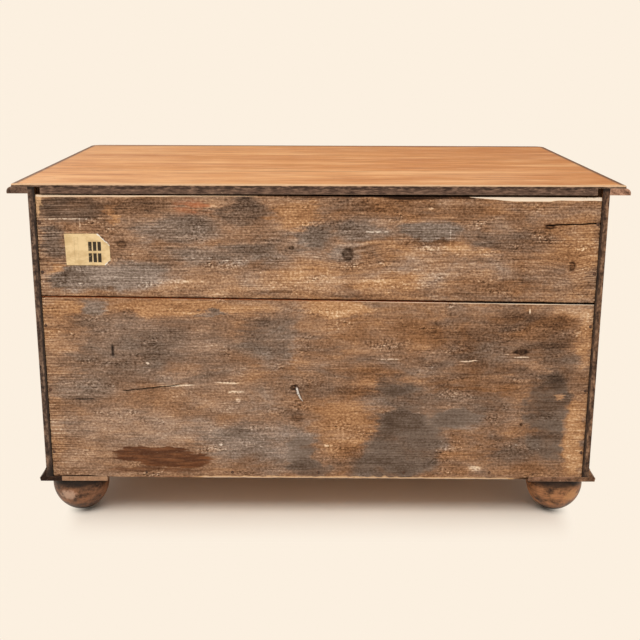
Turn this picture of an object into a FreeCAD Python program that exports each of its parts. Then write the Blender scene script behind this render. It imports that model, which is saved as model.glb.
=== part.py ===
"""Oak chest of drawers on bun feet, about 1 m wide, as a parametric document.

Millimetres, +Z up, origin under the middle of the chest on the floor. The drawers open
towards -Y and the nailed back boards face +Y. Left and right are as seen from the front.
"""

import FreeCAD, Part
import math
import operator
import os
from types import SimpleNamespace

import Sketcher
from FreeCAD import Placement, Rotation, Vector

os.makedirs("parts", exist_ok=True)

SIZES = {
    # Top: two joined boards with a thin lip, and a moulding glued on under the lip
    "top_width": 1000,
    "top_depth": 648,
    "top_overhang": 33.5,
    "top_lip": 5,
    "top_moulding_height": 11,
    "nose_setback": 8,
    "nose_foot_round": 1,
    "lip_round": 2.2,
    "lip_corner_round": 20,
    "rear_board_width": 173,
    # Carcass boards
    "side_thickness": 20,
    "side_front_round": 3,
    "bottom_thickness": 16,
    "housing_depth": 8,
    "divider_thickness": 18,
    "divider_depth": 70,
    "divider_shoulder": 4,
    "divider_flare": 2,
    "bead_round": 6,
    "rail_thickness": 18,
    "runner_width": 24,
    # Blocks on the dividers that a closed drawer's front meets
    "stop_offset": 150,
    "stop_width": 40,
    "stop_depth": 28,
    "stop_height": 8,
    "stop_gap": 0.3,
    # Back boards in the rebates of the sides, and their nails
    "rebate_width": 9,
    "back_thickness": 14,
    "back_setback": 1,
    "back_side_gap": 0.5,
    "back_top_gap": 2,
    "back_chamfer": 3,
    "joint_height": 314,
    "joint_taper": 10,
    "joint_gap": 2.4,
    "nail_radius": 1.5,
    "nail_length": 42,
    "nail_clearance": 0.1,
    "nail_head_radius": 4.5,
    "nail_head_height": 0.8,
    "nail_margin": 45,
    # Paper label on the upper back board
    "label_width": 72,
    "label_height": 52,
    "label_thickness": 0.4,
    "label_side_distance": 43.5,
    "label_top_distance": 81,
    "label_torn_corner": 14,
    # Base: mouldings with a flange under the sides, blocks and bun feet
    "base_thickness": 8,
    "base_moulding_height": 23,
    "base_projection": 12,
    "base_tip_rise": 6,
    "base_tip_lean": 1.2,
    "base_top_step": 1.5,
    "base_cove_radius": 30,
    "flange_width": 25.5,
    "block_width": 78,
    "block_depth": 95,
    "foot_height": 70,
    "foot_diameter": 97,
    "foot_belly_height": 52,
    "foot_contact_radius": 9,
    "foot_neck_radius": 44,
    "foot_inset": 47.5,
    "foot_setback": 50.5,
    "tenon_radius": 12,
    "tenon_length": 19,
    "tenon_clearance": 0.2,
    # Drawers, from the openings between the dividers
    "upper_opening": 125,
    "middle_opening": 138,
    "lower_opening": 155,
    "drawer_recess": 4,
    "drawer_front_thickness": 20,
    "cock_bead_width": 3.4,
    "cock_bead_height": 2.6,
    "drawer_side_thickness": 11,
    "drawer_back_thickness": 11,
    "drawer_bottom_thickness": 8,
    "drawer_bottom_rise": 10,
    "drawer_groove_depth": 5,
    "drawer_groove_clearance": 0.3,
    "drawer_side_gap": 1.2,
    "drawer_top_gap": 2,
    "drawer_front_lift": 1,
    "drawer_running_gap": 0.3,
    "drawer_side_drop": 4,
    "drawer_back_drop": 14,
    "drawer_rear_gap": 4,
    "dovetail_lap": 7,
    "dovetail_flare": 2.6,
    # Brass bail handles on turned posts
    "handle_offset": 268,
    "handle_rise": 8,
    "handle_centres": 84,
    "rose_radius": 13,
    "rose_rim": 1.2,
    "rose_height": 4,
    "rose_hollow_radius": 12,
    "post_neck_radius": 4.5,
    "post_reach": 16,
    "post_head_radius": 7,
    "post_shank_radius": 3,
    "post_shank_tail": 2,
    "post_hole_clearance": 0.2,
    "nut_width": 12,
    "nut_thickness": 4,
    "bail_radius": 2.6,
    "bail_clearance": 0.08,
    "bail_pin_reach": 5,
    "bail_leg_offset": 12.5,
    "bail_shoulder_round": 5,
    "bail_drop": 34,
    "bail_corner_round": 17,
}

# Dovetails per drawer corner, and how much of the height of one step a tail takes at its root
TAILS = 3
TAIL_SHARE = 0.62
# Nails along the lower edge of the back
BOTTOM_NAILS = 5
# How far a cutting outline runs past the wood that it cuts
CUT_MARGIN = 5

OPERATIONS = {"+": operator.add, "-": operator.sub, "*": operator.mul, "/": operator.truediv}


class Length:
    """A length that keeps its value together with the sheet expression it comes from."""

    def __init__(self, value, text):
        self.value = value
        self.text = text

    def joined(self, sign, other, flipped=False):
        """This length and another one joined by an arithmetic sign."""
        first, second = self, as_length(other)
        if flipped:
            first, second = second, first
        value = OPERATIONS[sign](first.value, second.value)
        return Length(value, f"({first.text} {sign} {second.text})")

    def __add__(self, other):
        return self.joined("+", other)

    def __radd__(self, other):
        return self.joined("+", other, flipped=True)

    def __sub__(self, other):
        return self.joined("-", other)

    def __rsub__(self, other):
        return self.joined("-", other, flipped=True)

    def __mul__(self, other):
        return self.joined("*", other)

    def __rmul__(self, other):
        return self.joined("*", other, flipped=True)

    def __truediv__(self, other):
        return self.joined("/", other)

    def __neg__(self):
        return self * -1


def as_length(item):
    """A plain number or a length, as a length."""
    if isinstance(item, Length):
        return item
    return Length(float(item), f"({item})")


def least(first, second):
    """The smaller of two lengths."""
    first, second = as_length(first), as_length(second)
    return Length(min(first.value, second.value), f"min({first.text}; {second.text})")


def root(item):
    """The square root of a length product."""
    return Length(math.sqrt(item.value), f"sqrt({item.text})")


doc = FreeCAD.newDocument("ChestOfDrawers")
sheet = doc.addObject("Spreadsheet::Sheet", "Sizes")
size = SimpleNamespace()
cell_row = 0


def add_cell(alias, content):
    """A row of the sheet with its name and content."""
    global cell_row
    cell_row += 1
    sheet.set(f"A{cell_row}", alias)
    sheet.set(f"B{cell_row}", content)
    sheet.setAlias(f"B{cell_row}", alias)


def derive(alias, term):
    """A place or size worked out from the driving ones, kept as a formula in the sheet."""
    add_cell(alias, "=" + term.text.replace("Sizes.", ""))
    return Length(term.value, f"Sizes.{alias}")


for size_name, size_value in SIZES.items():
    add_cell(size_name, str(size_value))
    setattr(size, size_name, Length(float(size_value), f"Sizes.{size_name}"))

# Places across the chest and from front to back
top_half = derive("top_half", size.top_width / 2)
nose_y = derive("nose_y", -size.top_depth / 2)
back_y = derive("back_y", size.top_depth / 2)
nose_radius = derive("nose_radius", least(size.nose_setback, size.top_moulding_height * 0.8))
lip_half = derive("lip_half", top_half - nose_radius)
lip_front_y = derive("lip_front_y", nose_y + nose_radius)
board_joint_y = derive("board_joint_y", back_y - size.rear_board_width)
carcass_half = derive("carcass_half", top_half - size.top_overhang)
carcass_front = derive("carcass_front", nose_y + size.top_overhang)
inner_half = derive("inner_half", carcass_half - size.side_thickness)
back_face = derive("back_face", back_y - size.back_setback)
back_inner = derive("back_inner", back_face - size.back_thickness)
rail_back = derive("rail_back", carcass_front + size.divider_depth)

# Levels from the floor up
bottom_level = derive("bottom_level", size.foot_height + size.base_thickness)
lower_floor = derive("lower_floor", bottom_level + size.bottom_thickness)
lower_divider_level = derive("lower_divider_level", lower_floor + size.lower_opening)
middle_floor = derive("middle_floor", lower_divider_level + size.divider_thickness)
upper_divider_level = derive("upper_divider_level", middle_floor + size.middle_opening)
upper_floor = derive("upper_floor", upper_divider_level + size.divider_thickness)
rail_level = derive("rail_level", upper_floor + size.upper_opening)
top_level = derive("top_level", rail_level + size.rail_thickness)
lip_level = derive("lip_level", top_level + size.top_moulding_height)
chest_height = derive("chest_height", lip_level + size.top_lip)
back_top = derive("back_top", top_level - size.back_top_gap)
joint_level = derive("joint_level", bottom_level + size.joint_height)

# Places of the drawers, the same for all three
drawer_face = derive("drawer_face", carcass_front + size.drawer_recess)
drawer_front_back = derive("drawer_front_back", drawer_face + size.drawer_front_thickness)
drawer_rear = derive("drawer_rear", back_inner - size.drawer_rear_gap)
drawer_outer = derive("drawer_outer", inner_half - size.drawer_side_gap)
drawer_inner = derive("drawer_inner", drawer_outer - size.drawer_side_thickness)
tail_tip = derive("tail_tip", drawer_face + size.dovetail_lap)
pin_root = derive("pin_root", drawer_rear - size.drawer_back_thickness)
doc.recompute()

nodes = {}


def bind(item, formulas):
    """Tie properties of a document object to the sheet."""
    for path, term in formulas.items():
        item.setExpression(path, as_length(term).text)


def new_body(label, place=None):
    """A body for one piece of the chest, at its place."""
    body = doc.addObject("PartDesign::Body", label)
    body.Label = label
    if place:
        bind(body, {f"Placement.Base.{axis}": term for axis, term in zip("xyz", place)})
    return body


def plane_sketch(body, name, plane, offset):
    """An empty sketch on one of the body's own planes, moved along that plane's normal."""
    sketch = body.newObject("Sketcher::SketchObject", name)
    support = next(item for item in body.Origin.OriginFeatures if item.Role == plane)
    sketch.AttachmentSupport = [(support, "")]
    sketch.MapMode = "FlatFace"
    bind(sketch, {"AttachmentOffset.Base.z": offset})
    return sketch


def constrain(sketch, kind, *where, term):
    """A dimension of a sketch, tied to the sheet."""
    term = as_length(term)
    index = sketch.addConstraint(Sketcher.Constraint(kind, *where, term.value))
    bind(sketch, {f"Constraints[{index}]": term})


def fix_point(sketch, geometry, point, across, up):
    """Hold a point of a sketch at its distances from the sketch's origin."""
    constrain(sketch, "DistanceX", -1, 1, geometry, point, term=across)
    constrain(sketch, "DistanceY", -1, 1, geometry, point, term=up)


def arc_between(first, second, radius, turn):
    """The shorter arc between two points; turn is +1 anticlockwise and -1 clockwise."""
    chord = second - first
    across = Vector(-chord.y, chord.x, 0).normalize()
    middle = (first + second) / 2
    centre = middle + across * (turn * math.sqrt(max(radius**2 - (chord.Length / 2) ** 2, 0)))
    ends = (first, second) if turn > 0 else (second, first)
    start, stop = [math.atan2(end.y - centre.y, end.x - centre.x) for end in ends]
    if stop < start:
        stop += 2 * math.pi
    return Part.ArcOfCircle(Part.Circle(centre, Vector(0, 0, 1), radius), start, stop)


def draw(sketch, corners, closed=True):
    """Draw lines, and arcs where a corner also gives a radius and a turn to the next corner."""
    points = [Vector(as_length(corner[0]).value, as_length(corner[1]).value, 0) for corner in corners]
    count = len(corners)
    edges = []
    for number in range(count if closed else count - 1):
        first, second = points[number], points[(number + 1) % count]
        if len(corners[number]) == 2:
            edges.append((sketch.addGeometry(Part.LineSegment(first, second)), 1, 2))
            continue
        radius, turn = corners[number][2:]
        radius = as_length(radius)
        edge = sketch.addGeometry(arc_between(first, second, radius.value, turn))
        constrain(sketch, "Radius", edge, term=radius)
        edges.append((edge, 1, 2) if turn > 0 else (edge, 2, 1))
    for number, (edge, start, stop) in enumerate(edges):
        fix_point(sketch, edge, start, *corners[number][:2])
        if closed or number + 1 < len(edges):
            following = edges[(number + 1) % len(edges)]
            sketch.addConstraint(Sketcher.Constraint("Coincident", edge, stop, following[0], following[1]))
        else:
            fix_point(sketch, edge, stop, *corners[-1][:2])


def outline(body, name, plane, offset, *loops):
    """A sketch of one or more closed outlines."""
    sketch = plane_sketch(body, name, plane, offset)
    for corners in loops:
        draw(sketch, corners)
    return sketch


def rectangle(across, up):
    """The corners of a rectangle from its two ranges."""
    return [(across[0], up[0]), (across[1], up[0]), (across[1], up[1]), (across[0], up[1])]


def circles(body, name, plane, offset, centres, radius):
    """A sketch of equal circles."""
    sketch = plane_sketch(body, name, plane, offset)
    for across, up in centres:
        middle = Vector(as_length(across).value, as_length(up).value, 0)
        circle = sketch.addGeometry(Part.Circle(middle, Vector(0, 0, 1), radius.value))
        constrain(sketch, "Radius", circle, term=radius)
        fix_point(sketch, circle, 3, across, up)
    return sketch


def pad(body, sketch, reach):
    """Wood along the sketch's normal."""
    feature = body.newObject("PartDesign::Pad", f"{sketch.Name}_pad")
    feature.Profile = sketch
    bind(feature, {"Length": reach})
    return feature


def pocket(body, sketch, depth, along_normal=False):
    """A cut against the sketch's normal, or along it, that has to take wood away."""
    doc.recompute()
    before = body.Shape.Volume
    feature = body.newObject("PartDesign::Pocket", f"{sketch.Name}_cut")
    feature.Profile = sketch
    feature.Reversed = along_normal
    bind(feature, {"Length": depth})
    doc.recompute()
    if body.Shape.Volume > before - 0.1:
        raise RuntimeError(f"{feature.Name} takes nothing away")
    return feature


def turn(body, sketch):
    """A turned piece, from a profile beside the sketch's upright axis."""
    feature = body.newObject("PartDesign::Revolution", f"{sketch.Name}_turned")
    feature.Profile = sketch
    feature.ReferenceAxis = (sketch, ["V_Axis"])
    feature.Angle = 360
    return feature


def ease(body, kind, name, amount, picks):
    """Round or chamfer the edges that the test picks on the finished shape so far."""
    doc.recompute()
    base = body.Tip
    edges = [f"Edge{number}" for number, edge in enumerate(base.Shape.Edges, 1) if picks(edge.BoundBox)]
    if not edges:
        raise RuntimeError(f"{name} finds no edge")
    feature = body.newObject(f"PartDesign::{kind}", name)
    feature.Base = (base, edges)
    bind(feature, {"Radius" if kind == "Fillet" else "Size": amount})
    return feature


def at(low, high, place):
    """Whether a range of an edge's box lies at one place."""
    return abs(low - place.value) < 0.01 and abs(high - place.value) < 0.01


def box(label, across, along, up):
    """A plain board from its three ranges."""
    board = doc.addObject("Part::Box", label)
    ranges = zip(("Length", "Width", "Height"), "xyz", (across, along, up))
    for side, axis, (low, high) in ranges:
        bind(board, {side: high - low, f"Placement.Base.{axis}": low})
    return board


def rod(name, radius, across, along, up, reach):
    """A round rod that starts at a point and runs towards -Y."""
    solid = doc.addObject("Part::Cylinder", name)
    solid.Placement = Placement(Vector(0, 0, 0), Rotation(Vector(1, 0, 0), 90))
    bind(solid, {"Radius": radius, "Height": reach})
    bind(solid, {"Placement.Base.x": across, "Placement.Base.y": along, "Placement.Base.z": up})
    return solid


def boolean(kind, label, first, second):
    """One Part boolean of two solids."""
    solid = doc.addObject(f"Part::{kind}", label)
    solid.Base = first
    solid.Tool = second
    return solid


def group(label, solids):
    """Separate equal solids kept as one piece of the list."""
    compound = doc.addObject("Part::Compound", label)
    compound.Links = solids
    return compound


def top_board(label, rear, front, has_nose):
    """A board of the top: thick between the sides, with a thin lip out over sides and moulding."""
    body = new_body(label)
    core_front = carcass_front if has_nose else front
    core = rectangle((-inner_half, inner_half), (core_front, rear))
    pad(body, outline(body, f"{label}_core", "XY_Plane", top_level, core), size.top_moulding_height)
    lip = rectangle((-lip_half, lip_half), (front, rear))
    if has_nose:
        corner = size.lip_corner_round
        lip = [
            (corner - lip_half, front),
            (lip_half - corner, front, corner, 1),
            (lip_half, front + corner),
            (lip_half, rear),
            (-lip_half, rear),
            (-lip_half, front + corner, corner, 1),
        ]
    pad(body, outline(body, f"{label}_lip", "XY_Plane", lip_level, lip), size.top_lip)
    ease(
        body,
        "Fillet",
        f"{label}_arris",
        least(size.lip_round, size.top_lip * 0.6),
        lambda span: at(span.ZMin, span.ZMax, chest_height)
        and not at(span.YMin, span.YMax, rear)
        and (has_nose or span.YLength > 1),
    )
    nodes[label] = body


top_board("top_rear_board", back_y, board_joint_y, has_nose=False)
top_board("top_front_board", board_joint_y, lip_front_y, has_nose=True)


def mitre(body, label, up, triangles):
    """Cut the mitred ends of a moulding with upright triangles."""
    sketch = outline(body, f"{label}_mitre", "XY_Plane", up[1] + CUT_MARGIN, *triangles)
    pocket(body, sketch, up[1] - up[0] + 2 * CUT_MARGIN)


def mitre_line(side, inner, outer):
    """Two points past the ends of the mitre at one front corner of the carcass."""
    inner, outer = inner - CUT_MARGIN, outer + CUT_MARGIN
    return [(side * (carcass_half + reach), carcass_front - reach) for reach in (inner, outer)]


def facing(section, side, place):
    """A moulding's section with its outward distances put in place; a mirrored arc turns the other way."""
    corners = []
    for out, level, *arc in section:
        radius_and_turn = (arc[0], side * arc[1]) if arc else ()
        corners.append((place(out), level, *radius_and_turn))
    return corners


def side_moulding(label, side, section, inner, outer, up):
    """A moulding along one side: its section runs from the back to the mitre at the front."""
    body = new_body(label)
    corners = facing(section, side, lambda out: side * (carcass_half + out))
    sketch = outline(body, f"{label}_section", "XZ_Plane", -back_y, corners)
    pad(body, sketch, back_y - carcass_front + outer)
    line = mitre_line(side, inner, outer)
    mitre(body, label, up, [[*line, (line[0][0], line[1][1])]])
    nodes[label] = body


def front_moulding(label, section, inner, outer, up):
    """The moulding along the front, mitred at both ends."""
    body = new_body(label)
    corners = facing(section, -1, lambda out: carcass_front - out)
    reach = carcass_half + outer
    pad(body, outline(body, f"{label}_section", "YZ_Plane", -reach, corners), 2 * reach)
    lines = [mitre_line(side, inner, outer) for side in (-1, 1)]
    mitre(body, label, up, [[*line, (line[1][0], line[0][1])] for line in lines])
    nodes[label] = body


def mouldings(prefix, section, inner, outer, up):
    """The left, right and front lengths of one moulding."""
    side_moulding(f"{prefix}_left_moulding", -1, section, inner, outer, up)
    side_moulding(f"{prefix}_right_moulding", 1, section, inner, outer, up)
    front_moulding(f"{prefix}_front_moulding", section, inner, outer, up)


def top_moulding_section():
    """Square at the carcass, with an ovolo nose that ends in a quirk under the lip."""
    outer = size.top_overhang
    foot_round = least(size.nose_foot_round, (size.top_moulding_height - nose_radius) * 0.5)
    return [
        (as_length(0), top_level),
        (outer - foot_round, top_level, foot_round, 1),
        (outer, top_level + foot_round),
        (outer, lip_level - nose_radius, nose_radius, 1),
        (outer - nose_radius, lip_level),
        (as_length(0), lip_level),
    ]


def base_moulding_section():
    """A cove above a leaning tip, on a flange that lies under the carcass."""
    crown = size.foot_height + size.base_moulding_height
    return [
        (-size.flange_width, size.foot_height),
        (size.base_projection - size.base_tip_lean, size.foot_height),
        (size.base_projection, size.foot_height + size.base_tip_rise, size.base_cove_radius, -1),
        (size.base_top_step, crown),
        (as_length(0), crown),
        (as_length(0), bottom_level),
        (-size.flange_width, bottom_level),
    ]


mouldings("top", top_moulding_section(), as_length(0), size.top_overhang, (top_level, lip_level))
mouldings(
    "base",
    base_moulding_section(),
    -size.flange_width,
    size.base_projection,
    (size.foot_height, size.foot_height + size.base_moulding_height),
)

# The three cross rails of the front, each with its lower and upper level
RAILS = {
    "lower_divider": (lower_divider_level, middle_floor),
    "upper_divider": (upper_divider_level, upper_floor),
    "top_rail": (rail_level, top_level),
}


def rail_end(side, up):
    """The dovetailed end of a rail, from its neck at the side's face to its tip inside the side."""
    neck = (up[0] + size.divider_shoulder, up[1] - size.divider_shoulder)
    tip = (neck[0] - size.divider_flare, neck[1] + size.divider_flare)
    face, end = side * inner_half, side * (inner_half + size.housing_depth)
    return [(face, neck[0]), (end, tip[0]), (end, tip[1]), (face, neck[1])]


def cross_rail(label, up):
    """A rail between the drawers, dovetailed into both sides, with a rounded front edge."""
    body = new_body(label)
    left = [(-inner_half, up[1]), *reversed(rail_end(-1, up)), (-inner_half, up[0])]
    right = [(inner_half, up[0]), *rail_end(1, up), (inner_half, up[1])]
    sketch = outline(body, f"{label}_face", "XZ_Plane", -rail_back, [*left, *right])
    pad(body, sketch, size.divider_depth)
    ease(
        body,
        "Fillet",
        f"{label}_bead",
        least(size.bead_round, (up[1] - up[0]) * 0.45),
        lambda span: at(span.YMin, span.YMax, carcass_front)
        and (at(span.ZMin, span.ZMax, up[0]) or at(span.ZMin, span.ZMax, up[1])),
    )
    nodes[label] = body


for rail_label, rail_range in RAILS.items():
    cross_rail(rail_label, rail_range)


def joint_at(side):
    """The height of the joint between the back boards at one end: the boards taper."""
    return joint_level + side * size.joint_taper / 2


# Nails of the back: five in each side's rebate, and a row into the bottom board
nail_line = inner_half + size.rebate_width / 2
END_NAILS = {
    "lower_back_board": [
        bottom_level + size.nail_margin,
        (bottom_level + joint_level) / 2,
        joint_level - size.nail_margin,
    ],
    "upper_back_board": [joint_level + size.nail_margin, back_top - size.nail_margin],
}
bottom_nail_level = bottom_level + size.bottom_thickness / 2
bottom_nails = [
    (inner_half * (2 * number / (BOTTOM_NAILS - 1) - 1) * 0.66, bottom_nail_level)
    for number in range(BOTTOM_NAILS)
]
nail_hole = size.nail_radius + size.nail_clearance
nail_bite = size.nail_length - size.back_thickness + size.nail_clearance


def carcass_side(label, side):
    """A side: rebated for the back and the bottom, with dovetail sockets for the cross rails."""
    body = new_body(label)
    inner, outer = side * inner_half, side * carcass_half
    rebate = side * (inner_half + size.rebate_width)
    plan = [
        (inner, carcass_front),
        (outer, carcass_front),
        (outer, back_y),
        (rebate, back_y),
        (rebate, back_inner),
        (inner, back_inner),
    ]
    pad(body, outline(body, f"{label}_plan", "XY_Plane", bottom_level, plan), lip_level - bottom_level)
    ease(
        body,
        "Fillet",
        f"{label}_arris",
        least(size.side_front_round, size.side_thickness * 0.45),
        lambda span: at(span.YMin, span.YMax, carcass_front) and at(span.XMin, span.XMax, outer),
    )
    housing = side * (inner_half + size.housing_depth)
    margin = side * (inner_half - CUT_MARGIN)
    ledge = rectangle((margin, housing), (bottom_level - CUT_MARGIN, lower_floor))
    seat = outline(body, f"{label}_bottom_rebate", "XZ_Plane", -carcass_front, ledge)
    pocket(body, seat, size.top_depth)
    sockets = []
    for up in RAILS.values():
        neck_low, tip_low, tip_high, neck_high = rail_end(side, up)
        mouth = [(margin, neck_high[1]), (margin, neck_low[1])]
        sockets.append([*mouth, neck_low, tip_low, tip_high, neck_high])
    housings = outline(body, f"{label}_housings", "XZ_Plane", -carcass_front, *sockets)
    pocket(body, housings, size.divider_depth)
    centres = [(side * nail_line, up) for levels in END_NAILS.values() for up in levels]
    holes = circles(body, f"{label}_nail_holes", "XZ_Plane", -back_inner, centres, nail_hole)
    pocket(body, holes, nail_bite, along_normal=True)
    nodes[label] = body


carcass_side("left_side", -1)
carcass_side("right_side", 1)

# The feet stand the same distance in from the sides, the back and the front
foot_x = derive("foot_x", carcass_half - size.foot_inset)
FEET = {
    "front_left": (-1, carcass_front + size.foot_setback),
    "front_right": (1, carcass_front + size.foot_setback),
    "rear_left": (-1, back_y - size.foot_setback),
    "rear_right": (1, back_y - size.foot_setback),
}
tenon_hole = size.tenon_radius + size.tenon_clearance


def bottom_board():
    """The bottom of the carcass, in the rebates of the sides, bored for the foot tenons."""
    body = new_body("bottom_board")
    half = inner_half + size.housing_depth
    plan = rectangle((-half, half), (carcass_front, back_inner))
    pad(body, outline(body, "bottom_board_plan", "XY_Plane", bottom_level, plan), size.bottom_thickness)
    centres = [(side * foot_x, along) for side, along in FEET.values()]
    holes = circles(body, "bottom_board_tenon_holes", "XY_Plane", bottom_level, centres, tenon_hole)
    pocket(body, holes, size.tenon_length - size.base_thickness + size.tenon_clearance, along_normal=True)
    holes = circles(body, "bottom_board_nail_holes", "XZ_Plane", -back_inner, bottom_nails, nail_hole)
    pocket(body, holes, nail_bite, along_normal=True)
    nodes["bottom_board"] = body


bottom_board()


def back_board(label, lower, upper, nails, chamfered):
    """A wide board across the back; its edges are given at the left and the right end."""
    body = new_body(label)
    half = inner_half + size.rebate_width - size.back_side_gap
    face = [(-half, lower[0]), (half, lower[1]), (half, upper[1]), (-half, upper[0])]
    pad(body, outline(body, f"{label}_face", "XZ_Plane", -back_face, face), size.back_thickness)
    holes = circles(body, f"{label}_nail_holes", "XZ_Plane", -back_face, nails, nail_hole)
    pocket(body, holes, size.back_thickness + CUT_MARGIN, along_normal=True)
    if chamfered:
        ease(
            body,
            "Chamfer",
            f"{label}_chamfer",
            least(size.back_chamfer, size.back_thickness * 0.6),
            lambda span: at(span.YMin, span.YMax, back_face) and at(span.ZMin, span.ZMax, back_top),
        )
    nodes[label] = body


half_gap = size.joint_gap / 2
end_nails = {
    label: [(side * nail_line, up) for side in (-1, 1) for up in levels]
    for label, levels in END_NAILS.items()
}
back_board(
    "lower_back_board",
    (bottom_level, bottom_level),
    (joint_at(-1) - half_gap, joint_at(1) - half_gap),
    end_nails["lower_back_board"] + bottom_nails,
    chamfered=False,
)
back_board(
    "upper_back_board",
    (joint_at(-1) + half_gap, joint_at(1) + half_gap),
    (back_top, back_top),
    end_nails["upper_back_board"],
    chamfered=True,
)


def back_nails():
    """Forged nails with flat heads, through the back boards into the sides and the bottom."""
    nails = []
    spots = [*end_nails["lower_back_board"], *end_nails["upper_back_board"], *bottom_nails]
    for number, (across, up) in enumerate(spots):
        name = f"back_nail_{number}"
        shank = rod(f"{name}_shank", size.nail_radius, across, back_face, up, size.nail_length)
        crown = back_face + size.nail_head_height
        head = rod(f"{name}_head", size.nail_head_radius, across, crown, up, size.nail_head_height)
        nails.append(boolean("Fuse", name, shank, head))
    nodes["back_board_nails"] = group("back_board_nails", nails)


back_nails()


def paper_label():
    """A sheet of paper stuck on the upper back board, with two corners torn away."""
    body = new_body("paper_label")
    outer = inner_half + size.rebate_width - size.back_side_gap
    far = outer - size.label_side_distance
    near = far - size.label_width
    crown = chest_height - size.label_top_distance
    foot = crown - size.label_height
    torn = size.label_torn_corner
    sheet_edge = [
        (near + torn * 0.4, foot),
        (far, foot),
        (far, crown),
        (near + torn, crown),
        (near, crown - torn),
        (near, foot + torn * 0.6),
    ]
    sketch = outline(body, "paper_label_edge", "XZ_Plane", -back_face, sheet_edge)
    feature = pad(body, sketch, size.label_thickness)
    feature.Reversed = True
    nodes["paper_label"] = body


paper_label()

# Runners carry the two upper drawers behind the dividers, kickers keep the top one from tipping
for side_name, side in (("left", -1), ("right", 1)):
    runner_across = (-inner_half, size.runner_width - inner_half)
    if side > 0:
        runner_across = (inner_half - size.runner_width, inner_half)
    for strip, rail_label in (
        ("lower_{}_runner", "lower_divider"),
        ("upper_{}_runner", "upper_divider"),
        ("{}_kicker", "top_rail"),
    ):
        strip_label = strip.format(side_name)
        nodes[strip_label] = box(strip_label, runner_across, (rail_back, back_inner), RAILS[rail_label])


def drawer_stops():
    """Pairs of small blocks behind the fronts of the closed drawers, under their bottoms."""
    front = drawer_front_back + size.stop_gap
    stops = []
    for drawer_name, floor in (("lower", lower_floor), ("middle", middle_floor), ("upper", upper_floor)):
        for side_name, side in (("left", -1), ("right", 1)):
            middle = side * size.stop_offset
            across = (middle - size.stop_width / 2, middle + size.stop_width / 2)
            along = (front, front + size.stop_depth)
            up = (floor, floor + size.stop_height)
            stops.append(box(f"{drawer_name}_{side_name}_stop", across, along, up))
    nodes["drawer_stops"] = group("drawer_stops", stops)


drawer_stops()


def belly_radius(end_radius, rise):
    """The radius of an arc that stands upright at the belly and ends at another radius."""
    step = size.foot_diameter / 2 - end_radius
    return (step * step + rise * rise) / (2 * step)


def foot(label, side, along):
    """A bun foot, turned in one piece with the tenon that holds it."""
    body = new_body(label, (side * foot_x, along, as_length(0)))
    belly = size.foot_diameter / 2
    above = size.foot_height - size.foot_belly_height
    crown = size.foot_height + size.tenon_length
    profile = [
        (0, 0),
        (size.foot_contact_radius, 0, belly_radius(size.foot_contact_radius, size.foot_belly_height), 1),
        (belly, size.foot_belly_height, belly_radius(size.foot_neck_radius, above), 1),
        (size.foot_neck_radius, size.foot_height),
        (size.tenon_radius, size.foot_height),
        (size.tenon_radius, crown),
        (0, crown),
    ]
    turn(body, outline(body, f"{label}_profile", "XZ_Plane", 0, profile))
    nodes[label] = body


def foot_block(label, side, along):
    """A block in the corner of the base that a foot's tenon goes through."""
    outer = carcass_half - size.flange_width
    across = (outer - size.block_width, outer) if side > 0 else (-outer, size.block_width - outer)
    front = carcass_front + size.flange_width
    depth = (front, front + size.block_depth)
    if along.value > 0:
        depth = (back_face - size.block_depth, back_face)
    body = new_body(label)
    plan = outline(body, f"{label}_plan", "XY_Plane", size.foot_height, rectangle(across, depth))
    pad(body, plan, size.base_thickness)
    hole = circles(body, f"{label}_hole", "XY_Plane", size.foot_height, [(side * foot_x, along)], tenon_hole)
    pocket(body, hole, size.base_thickness + CUT_MARGIN, along_normal=True)
    nodes[label] = body


for corner_name, (side, along) in FEET.items():
    foot_block(f"{corner_name}_foot_block", side, along)
    foot(f"{corner_name}_foot", side, along)


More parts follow.
